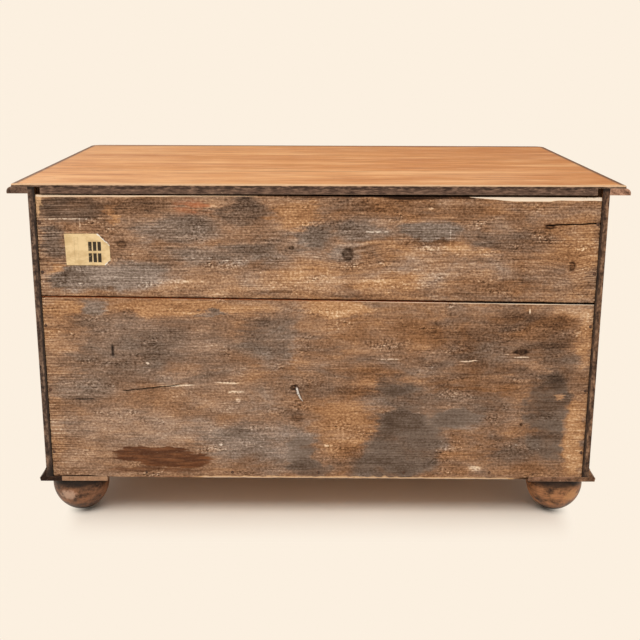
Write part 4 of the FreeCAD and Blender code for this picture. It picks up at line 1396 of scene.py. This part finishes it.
@dataclass
class BackBoard:
    """A wide back board: uneven, with splits, knots, ragged ends and a pale bevel along its top.

    Its lengths are in mm; lower, upper, bevel and splinters are stations along the board.
    """

    name: str
    node: str
    lower: tuple[Point, ...]
    upper: tuple[Point, ...]
    bevel: tuple[Point, ...]
    splinters: tuple[Point, ...]
    seed: float
    half: float = 455
    face: float = 323
    proud: float = 0.35
    inner: float = 309
    column: float = 4.0
    row: float = 2.4
    fine_row: float = 0.7
    fine_reach: float = 6
    chip: Place = (560, 15, 34)

    def _levels(self) -> list[float]:
        """Space the rows of vertices, closer together at the splits, knots and edges.

        Returns:
            The rows as shares of the board's height.
        """
        low, high = min(z for _, z in self.lower), max(z for _, z in self.upper)
        close = [z for split in SPLITS for _, z in (split.start, split.end)]
        close += [knot.middle[1] for knot in KNOTS]
        close = [low, high, *(z for z in close if low < z < high)]
        levels, z = [], low
        while z < high:
            levels.append((z - low) / (high - low))
            z += self.fine_row if min(abs(z - spot) for spot in close) < self.fine_reach else self.row
        return [*levels, 1.0]

    def _split(self, split: Split, x: float, z: float) -> Point:
        """Sink a split into the face.

        Args:
            split: The split.
            x: The place along the board in mm.
            z: The height in mm.

        Returns:
            Its depth there in mm and the share of painted shade.
        """
        run, drop = split.end[0] - split.start[0], split.end[1] - split.start[1]
        share = ((x - split.start[0]) * run + (z - split.start[1]) * drop) / (run * run + drop * drop)
        if not -0.02 < share < 1.02:
            return 0.0, 0.0
        share = min(1.0, max(0.0, share))
        middle = Vector((split.start[0] + run * share, split.start[1] + drop * share))
        wave = 1.1 * ripple(x * 0.07, z * 0.07, self.seed + 2)
        distance = abs((Vector((x, z)) - middle).length + wave * 0.5)
        if abs(run) > abs(drop):
            distance = abs(z - middle.y - wave)
        width = split.widths[0] + (split.widths[1] - split.widths[0]) * share
        width *= smooth(share, 0.0, 0.12)
        if abs(split.end[0]) <= self.half:
            width *= smooth(share, 1.0, 0.85)
        inside = smooth(distance, width + 0.9, width * 0.4) if width > 0.02 else 0.0
        return split.depth * inside, smooth(inside, 0.15, 0.7)

    def _knot(self, knot: Knot, x: float, z: float) -> Point:
        """Sink the rim of a knot into the face and raise its heart.

        Args:
            knot: The knot.
            x: The place along the board in mm.
            z: The height in mm.

        Returns:
            Its depth there in mm and the share of painted shade.
        """
        away = math.hypot((x - knot.middle[0]) / knot.reach[0], (z - knot.middle[1]) / knot.reach[1])
        away += 0.5 * ripple(x * 0.16, z * 0.16, self.seed + 10)
        if away >= 2:
            return 0.0, 0.0
        rim = smooth(abs(away - 0.8), 0.35, 0.0)
        return 0.7 * rim - 0.35 * smooth(away, 0.7, 0.2), 0.35 * rim

    def _surface(self, x: float, z: float) -> Point:
        """Find how far the surface lies under the board's highest face.

        Args:
            x: The place along the board in mm.
            z: The height in mm.

        Returns:
            The depth in mm and the share of painted shade.
        """
        depth = 0.35 + 0.35 * ripple(x * 0.006, z * 0.02, self.seed)
        depth += 0.12 * ripple(x * 0.02, z * 0.35, self.seed + 1)
        faults = [self._split(split, x, z) for split in SPLITS]
        faults += [self._knot(knot, x, z) for knot in KNOTS]
        return depth + sum(down for down, _ in faults), max(hollow for _, hollow in faults)

    def _outline(self, x: float) -> Point:
        """Find the ragged lower and upper edge.

        Args:
            x: The place along the board in mm.

        Returns:
            The heights of both edges in mm.
        """
        ragged = 0.7 * max(0.0, ripple(x * 0.06, 0, self.seed + 4))
        ragged += 0.8 * max(0.0, ripple(x * 0.35, 0, self.seed + 5))
        return between(self.lower, x) + ragged, between(self.upper, x) - 0.3 * ragged

    def _wear(self, x: float, z: float, low: float, high: float) -> Point:
        """Wear the bevel, the edges and the ends of the board.

        Args:
            x: The place along the board in mm.
            z: The height in mm.
            low: The lower edge there.
            high: The upper edge there.

        Returns:
            How much is worn off in mm, and the share of pale broken wood, raised on the bevel towards -X
            as a painted highlight.
        """
        depth = fresh = 0.0
        bevel = max(0.0, between(self.bevel, x) * (1 + 0.4 * ripple(x * 0.03, 0, self.seed + 3)))
        if bevel > 0.3:
            over = z - (high - bevel)
            depth = max(0.0, over) * 0.35
            # The bevel is pale bare wood, painted paler towards -X as a painted highlight.
            fresh = smooth(over, -0.5, 0.6) * (0.95 + 0.25 * smooth(x, 100, -300))
        above, end = z - low, self.half - abs(x)
        torn = 7.5 + 5.0 * ripple(x * 0.1, 0, self.seed + 6)
        tear = 5 + 7 * abs(ripple(0, z * 0.4, self.seed + 7))
        level, wide, tall = self.chip
        chip = math.hypot((x - self.half) / wide, (z - level) / tall)
        chip += 0.4 * ripple(x * 0.12, z * 0.12, self.seed + 9)
        fresh = max(
            fresh,
            between(self.splinters, x) * smooth(above, torn, 0.3),
            0.6 * smooth(end, tear, 0.0) * smooth(x, 1 - self.half, 0),
            0.74 * smooth(chip, 1.0, 0.6),
        )
        return depth + 0.6 * smooth(above, 1.4, 0.0) + smooth(end, 1.5, 0.0), fresh

    def _vertex(
        self,
        mesh: bmesh.types.BMesh,
        x: float,
        share: float,
        hollows: bmesh.types.BMLayerItem,
        freshes: bmesh.types.BMLayerItem,
    ) -> bmesh.types.BMVert:
        """Add one vertex of the face.

        Args:
            mesh: The board's bmesh.
            x: Its place along the board in mm.
            share: Its share of the board's height.
            hollows: The layer of painted shade in the splits and knots.
            freshes: The layer of pale broken wood.

        Returns:
            The vertex.
        """
        low, high = self._outline(x)
        z = low + (high - low) * share
        depth, hollow = self._surface(x, z)
        worn, fresh = self._wear(x, z, low, high)
        pull = 0.8 * abs(ripple(0, z * 0.25, self.seed + 8)) * smooth(self.half - abs(x), 5, 0)
        y = self.face + self.proud - depth - worn
        vertex = mesh.verts.new(((x - math.copysign(pull, x)) * MM, y * MM, z * MM))
        # Painted shade in the splits and knot rims, carried to the finish.
        vertex[hollows] = hollow
        vertex[freshes] = fresh
        return vertex

    def build(self, material: bpy.types.Material) -> None:
        """Build the board and let it stand for its CAD node.

        Args:
            material: Its finish.
        """
        mesh = bmesh.new()
        layers = [mesh.verts.layers.float.new(name) for name in ("hollow", "fresh")]
        count = round(2 * self.half / self.column)
        places = [-self.half + 2 * self.half * number / count for number in range(count + 1)]
        grid = [[self._vertex(mesh, x, share, *layers) for x in places] for share in self._levels()]
        for line, above in zip(grid, grid[1:]):
            for number in range(count):
                mesh.faces.new((line[number], line[number + 1], above[number + 1], above[number]))
        right, left = ([line[end] for line in grid[1:-1]] for end in (-1, 0))
        ring = [*grid[0], *right, *reversed(grid[-1]), *reversed(left)]
        inner = [mesh.verts.new((vertex.co.x, self.inner * MM, vertex.co.z)) for vertex in ring]
        Piece.strip(mesh, inner, ring)
        mesh.faces.new(inner)
        piece = Piece.from_bmesh(self.name, mesh, material, 0.9)
        Piece.place(piece, "carcass", Slot.BACK_DEAL, self.node)


BACK_BOARDS = (
    BackBoard(
        "worn_lower_back_board",
        "lower_back_board",
        lower=((-455, 73.0), (455, 77.5)),
        upper=((-455, 384.6), (455, 395.6)),
        bevel=((-455, 1.1), (-60, 0.8), (30, 0.0), (455, 0.0)),
        splinters=(
            (-455, 0.3), (-345, 0.4), (-325, 0.95), (10, 0.95), (195, 0.98), (225, 0.3), (455, 0.3),
        ),
        seed=1.0,
    ),
    BackBoard(
        "worn_upper_back_board",
        "upper_back_board",
        lower=((-455, 388.2), (455, 398.2)),
        upper=((-455, 561.8), (455, 563.6)),
        bevel=(
            (-455, 6.0), (-330, 6.0), (-275, 4.0), (-240, 0.0), (60, 0.0),
            (150, 0.8), (250, 1.8), (330, 3.0), (455, 3.4),
        ),
        splinters=((-455, 0.3), (455, 0.3)),
        seed=2.0,
    ),
)


@dataclass
class PaperLabel:
    """The old paper stuck on the upper board, torn at two corners and lifting a little, in mm."""

    near: float = 339.5
    far: float = 411.5
    foot: float = 449
    crown: float = 501
    face: float = 323.5
    step: float = 1.0
    thickness: float = 0.25
    upper_tear: float = 17
    lower_tear: float = 8
    lean: float = 0.03

    def _torn(self, x: float, z: float) -> float:
        """Find how far inside the torn outline a point lies.

        Args:
            x: Its place across in mm.
            z: Its height in mm.

        Returns:
            The distance in mm, below 0 where the paper is gone.
        """
        wave = 1.3 * ripple(x * 0.4, z * 0.4, 3.1) + ripple(x * 0.13, z * 0.13, 5.7)
        upper = (x - self.near) + (self.crown - z) - self.upper_tear
        lower = (x - self.near) + (z - self.foot) * 1.1 - self.lower_tear
        return min(upper, lower) + wave

    def _mesh(self) -> bmesh.types.BMesh:
        """Lay out the paper as a grid that stops at its torn outline.

        Returns:
            Its bmesh, with the layer of the torn rim.
        """
        mesh = bmesh.new()
        layer = mesh.verts.layers.float.new("torn")
        across = round((self.far - self.near) / self.step)
        up = round((self.crown - self.foot) / self.step)
        grid: dict[tuple[int, int], bmesh.types.BMVert] = {}
        for row, number in ((row, number) for row in range(up + 1) for number in range(across + 1)):
            x, z = self.near + number * self.step, self.foot + row * self.step
            inside = self._torn(x, z)
            if inside < 0:
                continue
            lift = 0.9 * smooth(inside, 9, 0) * abs(ripple(x * 0.2, z * 0.2, 1.9))
            lift += 0.12 * ripple(x * 0.09, z * 0.16, 8.8)
            x += self.lean * (z - self.foot) - 0.8
            grid[row, number] = mesh.verts.new((x * MM, (self.face + lift) * MM, z * MM))
            grid[row, number][layer] = smooth(inside, 5.5, 0.5)
        for row, number in list(grid):
            corners = [(row, number), (row, number + 1), (row + 1, number + 1), (row + 1, number)]
            if all(corner in grid for corner in corners):
                mesh.faces.new([grid[corner] for corner in corners])
        bmesh.ops.delete(mesh, geom=[v for v in mesh.verts if not v.link_faces], context="VERTS")
        return mesh

    def build(self) -> None:
        """Build the label and let it stand for its CAD node."""
        material = PaperFinish(self.near, self.far, self.foot, self.crown).make()
        piece = Piece.from_bmesh("aged_paper_label", self._mesh(), material)
        thick = piece.modifiers.new("paper", "SOLIDIFY")
        thick.thickness = self.thickness * MM
        thick.offset = 0
        Piece.place(piece, "carcass", Slot.PAPER, "paper_label")


@dataclass
class ForgedNails:
    """The nails of the back boards, with hammered heads and square tapered shanks, in mm."""

    line: float = 451
    ends: tuple[float, ...] = (123, 235, 347, 437, 519)
    bottom: tuple[float, ...] = (-294.69, -147.345, 0, 147.345, 294.69)
    bottom_level: float = 86
    face: float = 322.9
    length: float = 41
    radius: float = 3.1
    sides: int = 9
    neck: float = 1.05
    tip: float = 0.35

    def build(self) -> None:
        """Build all the nails as one piece that stands for their CAD node."""
        mesh = bmesh.new()
        spots = [(side * self.line, z) for side in (-1, 1) for z in self.ends]
        spots += [(x, self.bottom_level) for x in self.bottom]
        for number, spot in enumerate(spots):
            self._head(mesh, spot, number)
            self._shank(mesh, spot)
        piece = Piece.from_bmesh("forged_back_nails", mesh, IronFinish().make(), 0.3)
        Piece.place(piece, "carcass", Slot.IRON, "back_board_nails")

    def _head(self, mesh: bmesh.types.BMesh, spot: Point, number: int) -> None:
        """Add one hammered head.

        Args:
            mesh: The nails' bmesh.
            spot: Its place across and its height in mm.
            number: Its place in the row, for its own shape.
        """
        x, z = spot
        rim, shoulder = [], []
        for corner in range(self.sides):
            angle = 2 * math.pi * corner / self.sides + number
            radius = self.radius * (1 + 0.16 * ripple(corner * 1.7, number * 2.3, 4.4))
            across, up = math.cos(angle) * radius, math.sin(angle) * radius
            high = self.face + 0.55 + 0.2 * ripple(corner * 0.9, number * 1.1, 6.1)
            rim.append(mesh.verts.new(((x + across) * MM, self.face * MM, (z + up) * MM)))
            shoulder.append(mesh.verts.new(((x + across * 0.62) * MM, high * MM, (z + up * 0.62) * MM)))
        peak = mesh.verts.new((x * MM, (self.face + 0.9) * MM, z * MM))
        Piece.strip(mesh, rim, shoulder)
        for corner, vertex in enumerate(shoulder):
            mesh.faces.new((vertex, shoulder[(corner + 1) % self.sides], peak))
        mesh.faces.new(list(reversed(rim)))

    def _shank(self, mesh: bmesh.types.BMesh, spot: Point) -> None:
        """Add one square shank.

        Args:
            mesh: The nails' bmesh.
            spot: Its place across and its height in mm.
        """
        rings = []
        for half, down in ((self.neck, 0.4), (self.tip, self.length)):
            corners = ((-half, -half), (half, -half), (half, half), (-half, half))
            rings.append(
                [
                    mesh.verts.new(((spot[0] + x) * MM, (self.face - down) * MM, (spot[1] + z) * MM))
                    for x, z in corners
                ]
            )
        Piece.strip(mesh, *rings)
        for ring in rings:
            mesh.faces.new(ring)


@dataclass
class BentNail:
    """An old nail that stands out of the lower board and is bent flat against it, in mm."""

    route: tuple[Place, ...] = (
        (36.8, 317, 241),
        (36.5, 323.8, 239.5),
        (35.8, 325.6, 236),
        (34.4, 325.6, 230.5),
        (32.2, 325.2, 225),
        (29.2, 324.6, 219.5),
        (26.4, 324.1, 216),
    )
    radii: tuple[float, ...] = (1.9, 1.9, 2.0, 1.9, 1.6, 1.2, 0.4)
    sides: int = 8

    def build(self) -> None:
        """Build the nail as a tapering bent rod."""
        mesh = bmesh.new()
        points = [Vector(point) for point in self.route]
        rings = []
        befores, afters = points[:1] + points, points[1:] + points[-1:]
        for before, point, after, radius in zip(befores, points, afters, self.radii):
            turn = (after - before).to_track_quat("Z", "X")
            angles = [2 * math.pi * corner / self.sides for corner in range(self.sides)]
            corners = [turn @ Vector((math.cos(angle), math.sin(angle), 0)) * radius for angle in angles]
            rings.append([mesh.verts.new((point + corner) * MM) for corner in corners])
        for first, second in zip(rings, rings[1:]):
            Piece.strip(mesh, first, second)
        mesh.faces.new(list(reversed(rings[0])))
        mesh.faces.new(rings[-1])
        piece = Piece.from_bmesh("bent_nail", mesh, IronFinish("rubbed_iron_painted_glint", 0.9).make(), 1.2)
        Piece.place(piece, "carcass", Slot.IRON)


@dataclass
class Escutcheon:
    """A brass keyhole plate with a raised rim and two pins, on the middle of a drawer front, in mm."""

    drawer: str
    level: float
    face: float = -286.5
    reach: Point = (13, 19)
    thickness: float = 1.5
    points: int = 48
    key: float = 3.2
    slit: float = 1.35
    drop: float = 9.0
    pins: tuple[float, float] = (-14.5, 14.5)
    pin: float = 1.3

    def _keyhole(self, share: float) -> Point:
        """Follow the keyhole's outline.

        Args:
            share: The share of the way round.

        Returns:
            The point across and up, in mm.
        """
        angle = 2 * math.pi * share
        across, up = math.sin(angle), math.cos(angle)
        if abs(across) < 0.52 and up < 0:
            rise = 7.0 * max(0.0, abs(across) - 0.12) / 0.4
            return math.copysign(self.slit, across), rise - self.drop
        return across * self.key, up * self.key

    def _outline(self, share: float, inset: float) -> Point:
        """Follow the plate's edge, waisted at the sides.

        Args:
            share: The share of the way round.
            inset: How far inwards, in mm.

        Returns:
            The point across and up, in mm.
        """
        angle = 2 * math.pi * share
        swell = 1 + 0.10 * math.cos(4 * angle)
        across = (self.reach[0] * swell - inset) * math.sin(angle)
        return across, (self.reach[1] * swell - inset) * math.cos(angle)

    def _ring(self, mesh: bmesh.types.BMesh, y: float, inset: float | None = None) -> Ring:
        """Add a ring of vertices round the plate, or round its keyhole.

        Args:
            mesh: The plate's bmesh.
            y: Its depth in mm.
            inset: How far inside the plate's edge it runs; without it, round the keyhole.

        Returns:
            The vertices.
        """
        shares = [number / self.points for number in range(self.points)]
        spots = [self._keyhole(s) if inset is None else self._outline(s, inset) for s in shares]
        return [mesh.verts.new((x * MM, y * MM, (self.level + z) * MM)) for x, z in spots]

    def build(self, brass: bpy.types.Material, dark: bpy.types.Material) -> None:
        """Build the plate and the sheet of painted shade behind its keyhole.

        Args:
            brass: The plate's finish.
            dark: The finish of that painted shade.
        """
        mesh = bmesh.new()
        front = self.face - self.thickness
        profile = ((0.0, self.face), (0.0, front + 0.5), (0.5, front), (1.6, front - 0.35))
        profile += ((2.4, front), (2.8, front + 0.2), (None, front + 0.2), (None, self.face - 0.1))
        rings = [self._ring(mesh, y, inset) for inset, y in profile]
        for first, second in zip(rings, rings[1:]):
            Piece.strip(mesh, first, second)
        for up in self.pins:
            head = bmesh.ops.create_uvsphere(mesh, u_segments=12, v_segments=8, radius=self.pin * MM)
            spot = Vector((0, (front + 0.35) * MM, (self.level + up) * MM))
            bmesh.ops.translate(mesh, vec=spot, verts=head["verts"])
        plate = Piece.from_bmesh(f"{self.drawer}_escutcheon", mesh, brass, 0.7)
        Piece.place(plate, self.drawer, Slot.BRASS)
        # A flat near-black sheet of painted shade behind the keyhole.
        mesh = bmesh.new()
        mesh.faces.new(self._ring(mesh, self.face - 0.12))
        hole = Piece.from_bmesh(f"{self.drawer}_keyhole", mesh, dark)
        Piece.place(hole, self.drawer, Slot.IRON)


ESCUTCHEONS = (
    Escutcheon("upper_drawer", 512),
    Escutcheon("middle_drawer", 366),
    Escutcheon("lower_drawer", 208),
)
# The first pattern that fits the name of a CAD node gives its finish.
FINISH_OF = (
    (r"top_(rear|front)_board", Coat.TOP),
    (r"top_left_moulding", Coat.PALE_MOULDING),
    (r"top_right_moulding", Coat.DARK_MOULDING),
    (r".*_front_moulding", Coat.FRONT_MOULDING),
    (r"base_left_moulding", Coat.BROWN_BASE),
    (r"base_right_moulding", Coat.BLACK_BASE),
    (r"left_side", Coat.LEFT_SIDE),
    (r"right_side", Coat.RIGHT_SIDE),
    (r".*_drawer_front", Coat.DRAWER),
    (r".*_(divider|rail|cock_bead)", Coat.FRONT),
    (r".*_right_foot_block", Coat.PALE_BLOCK),
    (r".*_left_foot_block", Coat.DIM_BLOCK),
    (r".*_foot", Coat.FOOT),
    (r".*_(posts|bail)", Coat.BRASS),
    (r".*_(side|runner|kicker)", Coat.BARE_DEPTH),
)


@dataclass
class Joinery:
    """The CAD boards, mouldings and drawers, each dressed in the finish of its place."""

    finishes: dict[Coat, bpy.types.Material] = field(default_factory=dict)

    def make_finishes(self) -> None:
        """Build the finishes of the wood and the brass, from their light, middle and dark tones."""
        orange = srgb(228, 164, 102), srgb(199, 132, 72), srgb(136, 80, 40)
        dark = srgb(124, 96, 78), srgb(92, 70, 57), srgb(58, 42, 34)
        russet = srgb(222, 176, 150), srgb(188, 142, 116), srgb(112, 78, 60)
        umber = srgb(64, 43, 31), srgb(39, 24, 16), srgb(19, 11, 8)
        brown = srgb(146, 106, 78), srgb(112, 80, 58), srgb(70, 48, 35)
        bare = srgb(206, 164, 118), srgb(184, 140, 96), srgb(150, 108, 72)
        oak = srgb(190, 133, 82), srgb(156, 103, 60), srgb(104, 65, 38)
        pale = srgb(204, 164, 128), srgb(172, 132, 102), srgb(124, 90, 66)
        dim = srgb(186, 144, 112), srgb(150, 110, 84), srgb(92, 64, 47)
        rebate = srgb(52, 35, 25), srgb(102, 74, 55), srgb(158, 122, 94)
        made = [
            TopFinish(Coat.TOP.value, *orange, roughness=0.62, edge=srgb(240, 198, 156), edge_wear=0.2),
            WornFinish(
                Coat.PALE_MOULDING.value, *russet, Grain.DEPTH, edge=srgb(222, 184, 160), chips=0.7
            ),
            WornFinish(Coat.DARK_MOULDING.value, *dark, Grain.DEPTH, edge=srgb(168, 138, 118)),
            WornFinish(Coat.FRONT_MOULDING.value, *brown, chips=0.25, dirt=0.4),
            WornFinish(Coat.BLACK_BASE.value, *umber, Grain.DEPTH, edge=srgb(108, 80, 64), chips=0.2),
            WornFinish(Coat.BROWN_BASE.value, *brown, Grain.DEPTH, edge=srgb(186, 148, 118), dirt=0.85),
            SideFinish(Coat.LEFT_SIDE.value, *oak, Grain.HEIGHT, edge_wear=0.3, sawn=rebate, bottom_dark=0.6),
            SideFinish(Coat.RIGHT_SIDE.value, *oak, Grain.HEIGHT, edge_wear=0.3),
            FrontFinish(Coat.DRAWER.value, *oak, edge_wear=0.45),
            OakFinish(Coat.FRONT.value, *oak, edge_wear=0.45),
            BareFinish(Coat.BARE_WIDTH.value, *bare, corner_shade=0.6),
            BareFinish(Coat.BARE_DEPTH.value, *bare, Grain.DEPTH, corner_shade=0.6),
            WornFinish(
                Coat.PALE_BLOCK.value, *pale, edge=srgb(222, 188, 156), chips=0.35, dirt=0.45, corner_shade=0.5
            ),
            WornFinish(
                Coat.DIM_BLOCK.value, *dim, edge=srgb(204, 164, 136), chips=0.4, dirt=0.75, corner_shade=0.6
            ),
            FootFinish(),
            BrassFinish(),
            KeyholeShadeFinish(),
        ]
        self.finishes = {Coat(finish.name): finish.make() for finish in made}

    def finish_of(self, node: str) -> Coat:
        """Choose the finish of a CAD node by its name."""
        chosen = (finish for pattern, finish in FINISH_OF if re.fullmatch(pattern, node))
        return next(chosen, Coat.BARE_WIDTH)

    def dress(self) -> None:
        """Give every CAD node its finish."""
        for node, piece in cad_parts.items():
            finish = self.finish_of(node)
            if not piece.material_slots:
                piece.data.materials.append(self.finishes[finish])
            for slot in piece.material_slots:
                slot.material = self.finishes[finish]
            LOG.info("%s wears %s", node, finish.value)


@dataclass
class Studio:
    """A plain pale floor, soft lights and the camera at the photograph's place."""

    backdrop: Colour = srgb(252, 240, 224)
    floor_tone: Colour = srgb(254, 244, 230)
    floor_cloud: Colour = srgb(250, 240, 226)
    lamp_tone: Place = (1.0, 0.985, 0.965)
    world_strength: float = 0.5
    shaded: Point = (0.405, 0.57)
    shaded_rear: float = 0.29
    floor_rings: tuple[float, ...] = (0.6, 2.0, 5.0, 14.0)
    floor_sides: int = 64
    focal_px: float = 1044.1
    frame_px: float = 640
    sensor: float = 36
    eye_mm: Place = (8.4, 1991.2, 804.3)
    pitch: float = -14.99
    yaw: float = -0.36
    roll: float = -0.24

    def build(self) -> None:
        """Set up the floor, the world, the lamps and the camera."""
        self._floor()
        self._world()
        self._lamp("key_softbox", (0.4, 2.2, 3.3), (0, 0.1, 0.35), (2.8, 1.8), 84)
        self._lamp("front_softbox", (2.3, -2.6, 2.3), (0, -0.2, 0.3), (2.4, 1.8), 42)
        self._camera()
        bpy.context.scene.view_settings.view_transform = "Standard"

    def _seen(self, shade: Shade) -> Term:
        """Pick the rays that show the backdrop itself, in the picture or in a reflection.

        Args:
            shade: The floor's or the world's tree.

        Returns:
            1 for those rays and 0 for others.
        """
        outputs = [f"Is {kind} Ray" for kind in ("Camera", "Glossy", "Transmission")]
        camera, glossy, through = (shade.add("ShaderNodeLightPath", output=name) for name in outputs)
        return camera.largest(glossy).largest(through)

    def _floor_finish(self) -> bpy.types.Material:
        """Build the floor's finish, which fades into the backdrop away from the chest's shadow.

        Returns:
            The material.
        """
        shade = Shade("pale_floor")
        place = shade.place()
        centred = shade.vector("ADD", place, (0.0, self.shaded[1] - self.shaded_rear, 0.0))
        beyond = shade.vector("SUBTRACT", shade.vector("ABSOLUTE", centred), (*self.shaded, 0.0))
        outside = shade.vector("MAXIMUM", beyond, (0.0, 0.0, 0.0))
        away = shade.length(shade.scaled(outside, 3.0, 1.0, 1.0))
        cloud = shade.noise(shade.scaled(place, 3), 3)
        tone = shade.mix(self.floor_tone, self.floor_cloud, cloud.rise(0.4, 0.6))
        matt = shade.add("ShaderNodeBsdfPrincipled", None, {"Base Color": tone, "Roughness": 0.8})
        glow = shade.add("ShaderNodeEmission", None, {"Color": self.backdrop, "Strength": 1.0})
        fade = away.rise(0.0, 0.13) * self._seen(shade)
        both = shade.add("ShaderNodeMixShader", None, {0: fade, 1: matt, 2: glow})
        shade.node("ShaderNodeOutputMaterial", None, {"Surface": both})
        return shade.material

    def _floor(self) -> None:
        """Build the round floor."""
        mesh = bmesh.new()
        turns = [2 * math.pi * number / self.floor_sides for number in range(self.floor_sides)]
        rings = [
            [mesh.verts.new((reach * math.cos(turn), reach * math.sin(turn), 0)) for turn in turns]
            for reach in self.floor_rings
        ]
        mesh.faces.new(rings[0])
        for inner, outer in zip(rings, rings[1:]):
            Piece.strip(mesh, outer, inner)
        Piece.from_bmesh("floor", mesh, self._floor_finish())

    def _world(self) -> None:
        """Light the chest evenly all round, with the pale backdrop behind it."""
        sky = Sky("studio")
        seen = sky.add("ShaderNodeBackground", None, {"Color": self.backdrop, "Strength": 1.0})
        light = {"Color": (*self.lamp_tone, 1.0), "Strength": self.world_strength}
        soft = sky.add("ShaderNodeBackground", None, light)
        both = sky.add("ShaderNodeMixShader", None, {0: self._seen(sky), 1: soft, 2: seen})
        sky.node("ShaderNodeOutputWorld", None, {"Surface": both})

    def _lamp(self, name: str, spot: Place, aim: Place, size: Point, power: float) -> None:
        """Add one soft lamp.

        Args:
            name: Its name.
            spot: Where it hangs, in metres.
            aim: The point that it faces.
            size: Its width and height.
            power: Its power in watts.
        """
        data = bpy.data.lights.new(name, "AREA")
        data.shape = "RECTANGLE"
        data.size, data.size_y = size
        data.energy = power
        data.color = self.lamp_tone
        lamp = bpy.data.objects.new(name, data)
        lamp.location = spot
        lamp.rotation_euler = (Vector(aim) - Vector(spot)).to_track_quat("-Z", "Y").to_euler()
        bpy.context.scene.collection.objects.link(lamp)

    def _camera(self) -> None:
        """Put the camera where the photograph was taken."""
        turn = Matrix.Rotation(math.radians(self.yaw), 3, "Z")
        turn @= Matrix.Rotation(math.radians(self.pitch), 3, "X")
        turn @= Matrix.Rotation(math.radians(self.roll), 3, "Y")
        about = Matrix.Rotation(math.pi, 3, "Z")
        right, ahead, up = (about @ (turn @ Vector(axis)) for axis in ((1, 0, 0), (0, 1, 0), (0, 0, 1)))
        data = bpy.data.cameras.new("camera")
        data.sensor_width = self.sensor
        data.lens = self.focal_px / self.frame_px * self.sensor
        data.clip_end = 100
        camera = bpy.data.objects.new("camera", data)
        axes = Matrix((right, up, -ahead)).transposed()
        camera.matrix_world = Matrix.Translation(Vector(self.eye_mm) * MM) @ axes.to_4x4()
        bpy.context.scene.collection.objects.link(camera)
        bpy.context.scene.camera = camera


def main() -> None:
    """Dress the chest piece by piece and set up the studio."""
    logging.basicConfig(level=logging.INFO, format="%(name)s: %(message)s")
    joinery = Joinery()
    joinery.make_finishes()
    joinery.dress()
    deal = DealFinish().make()
    for board in BACK_BOARDS:
        board.build(deal)
    PaperLabel().build()
    ForgedNails().build()
    BentNail().build()
    for plate in ESCUTCHEONS:
        plate.build(joinery.finishes[Coat.BRASS], joinery.finishes[Coat.KEYHOLE])
    Studio().build()


if __name__ == "__main__":
    main()
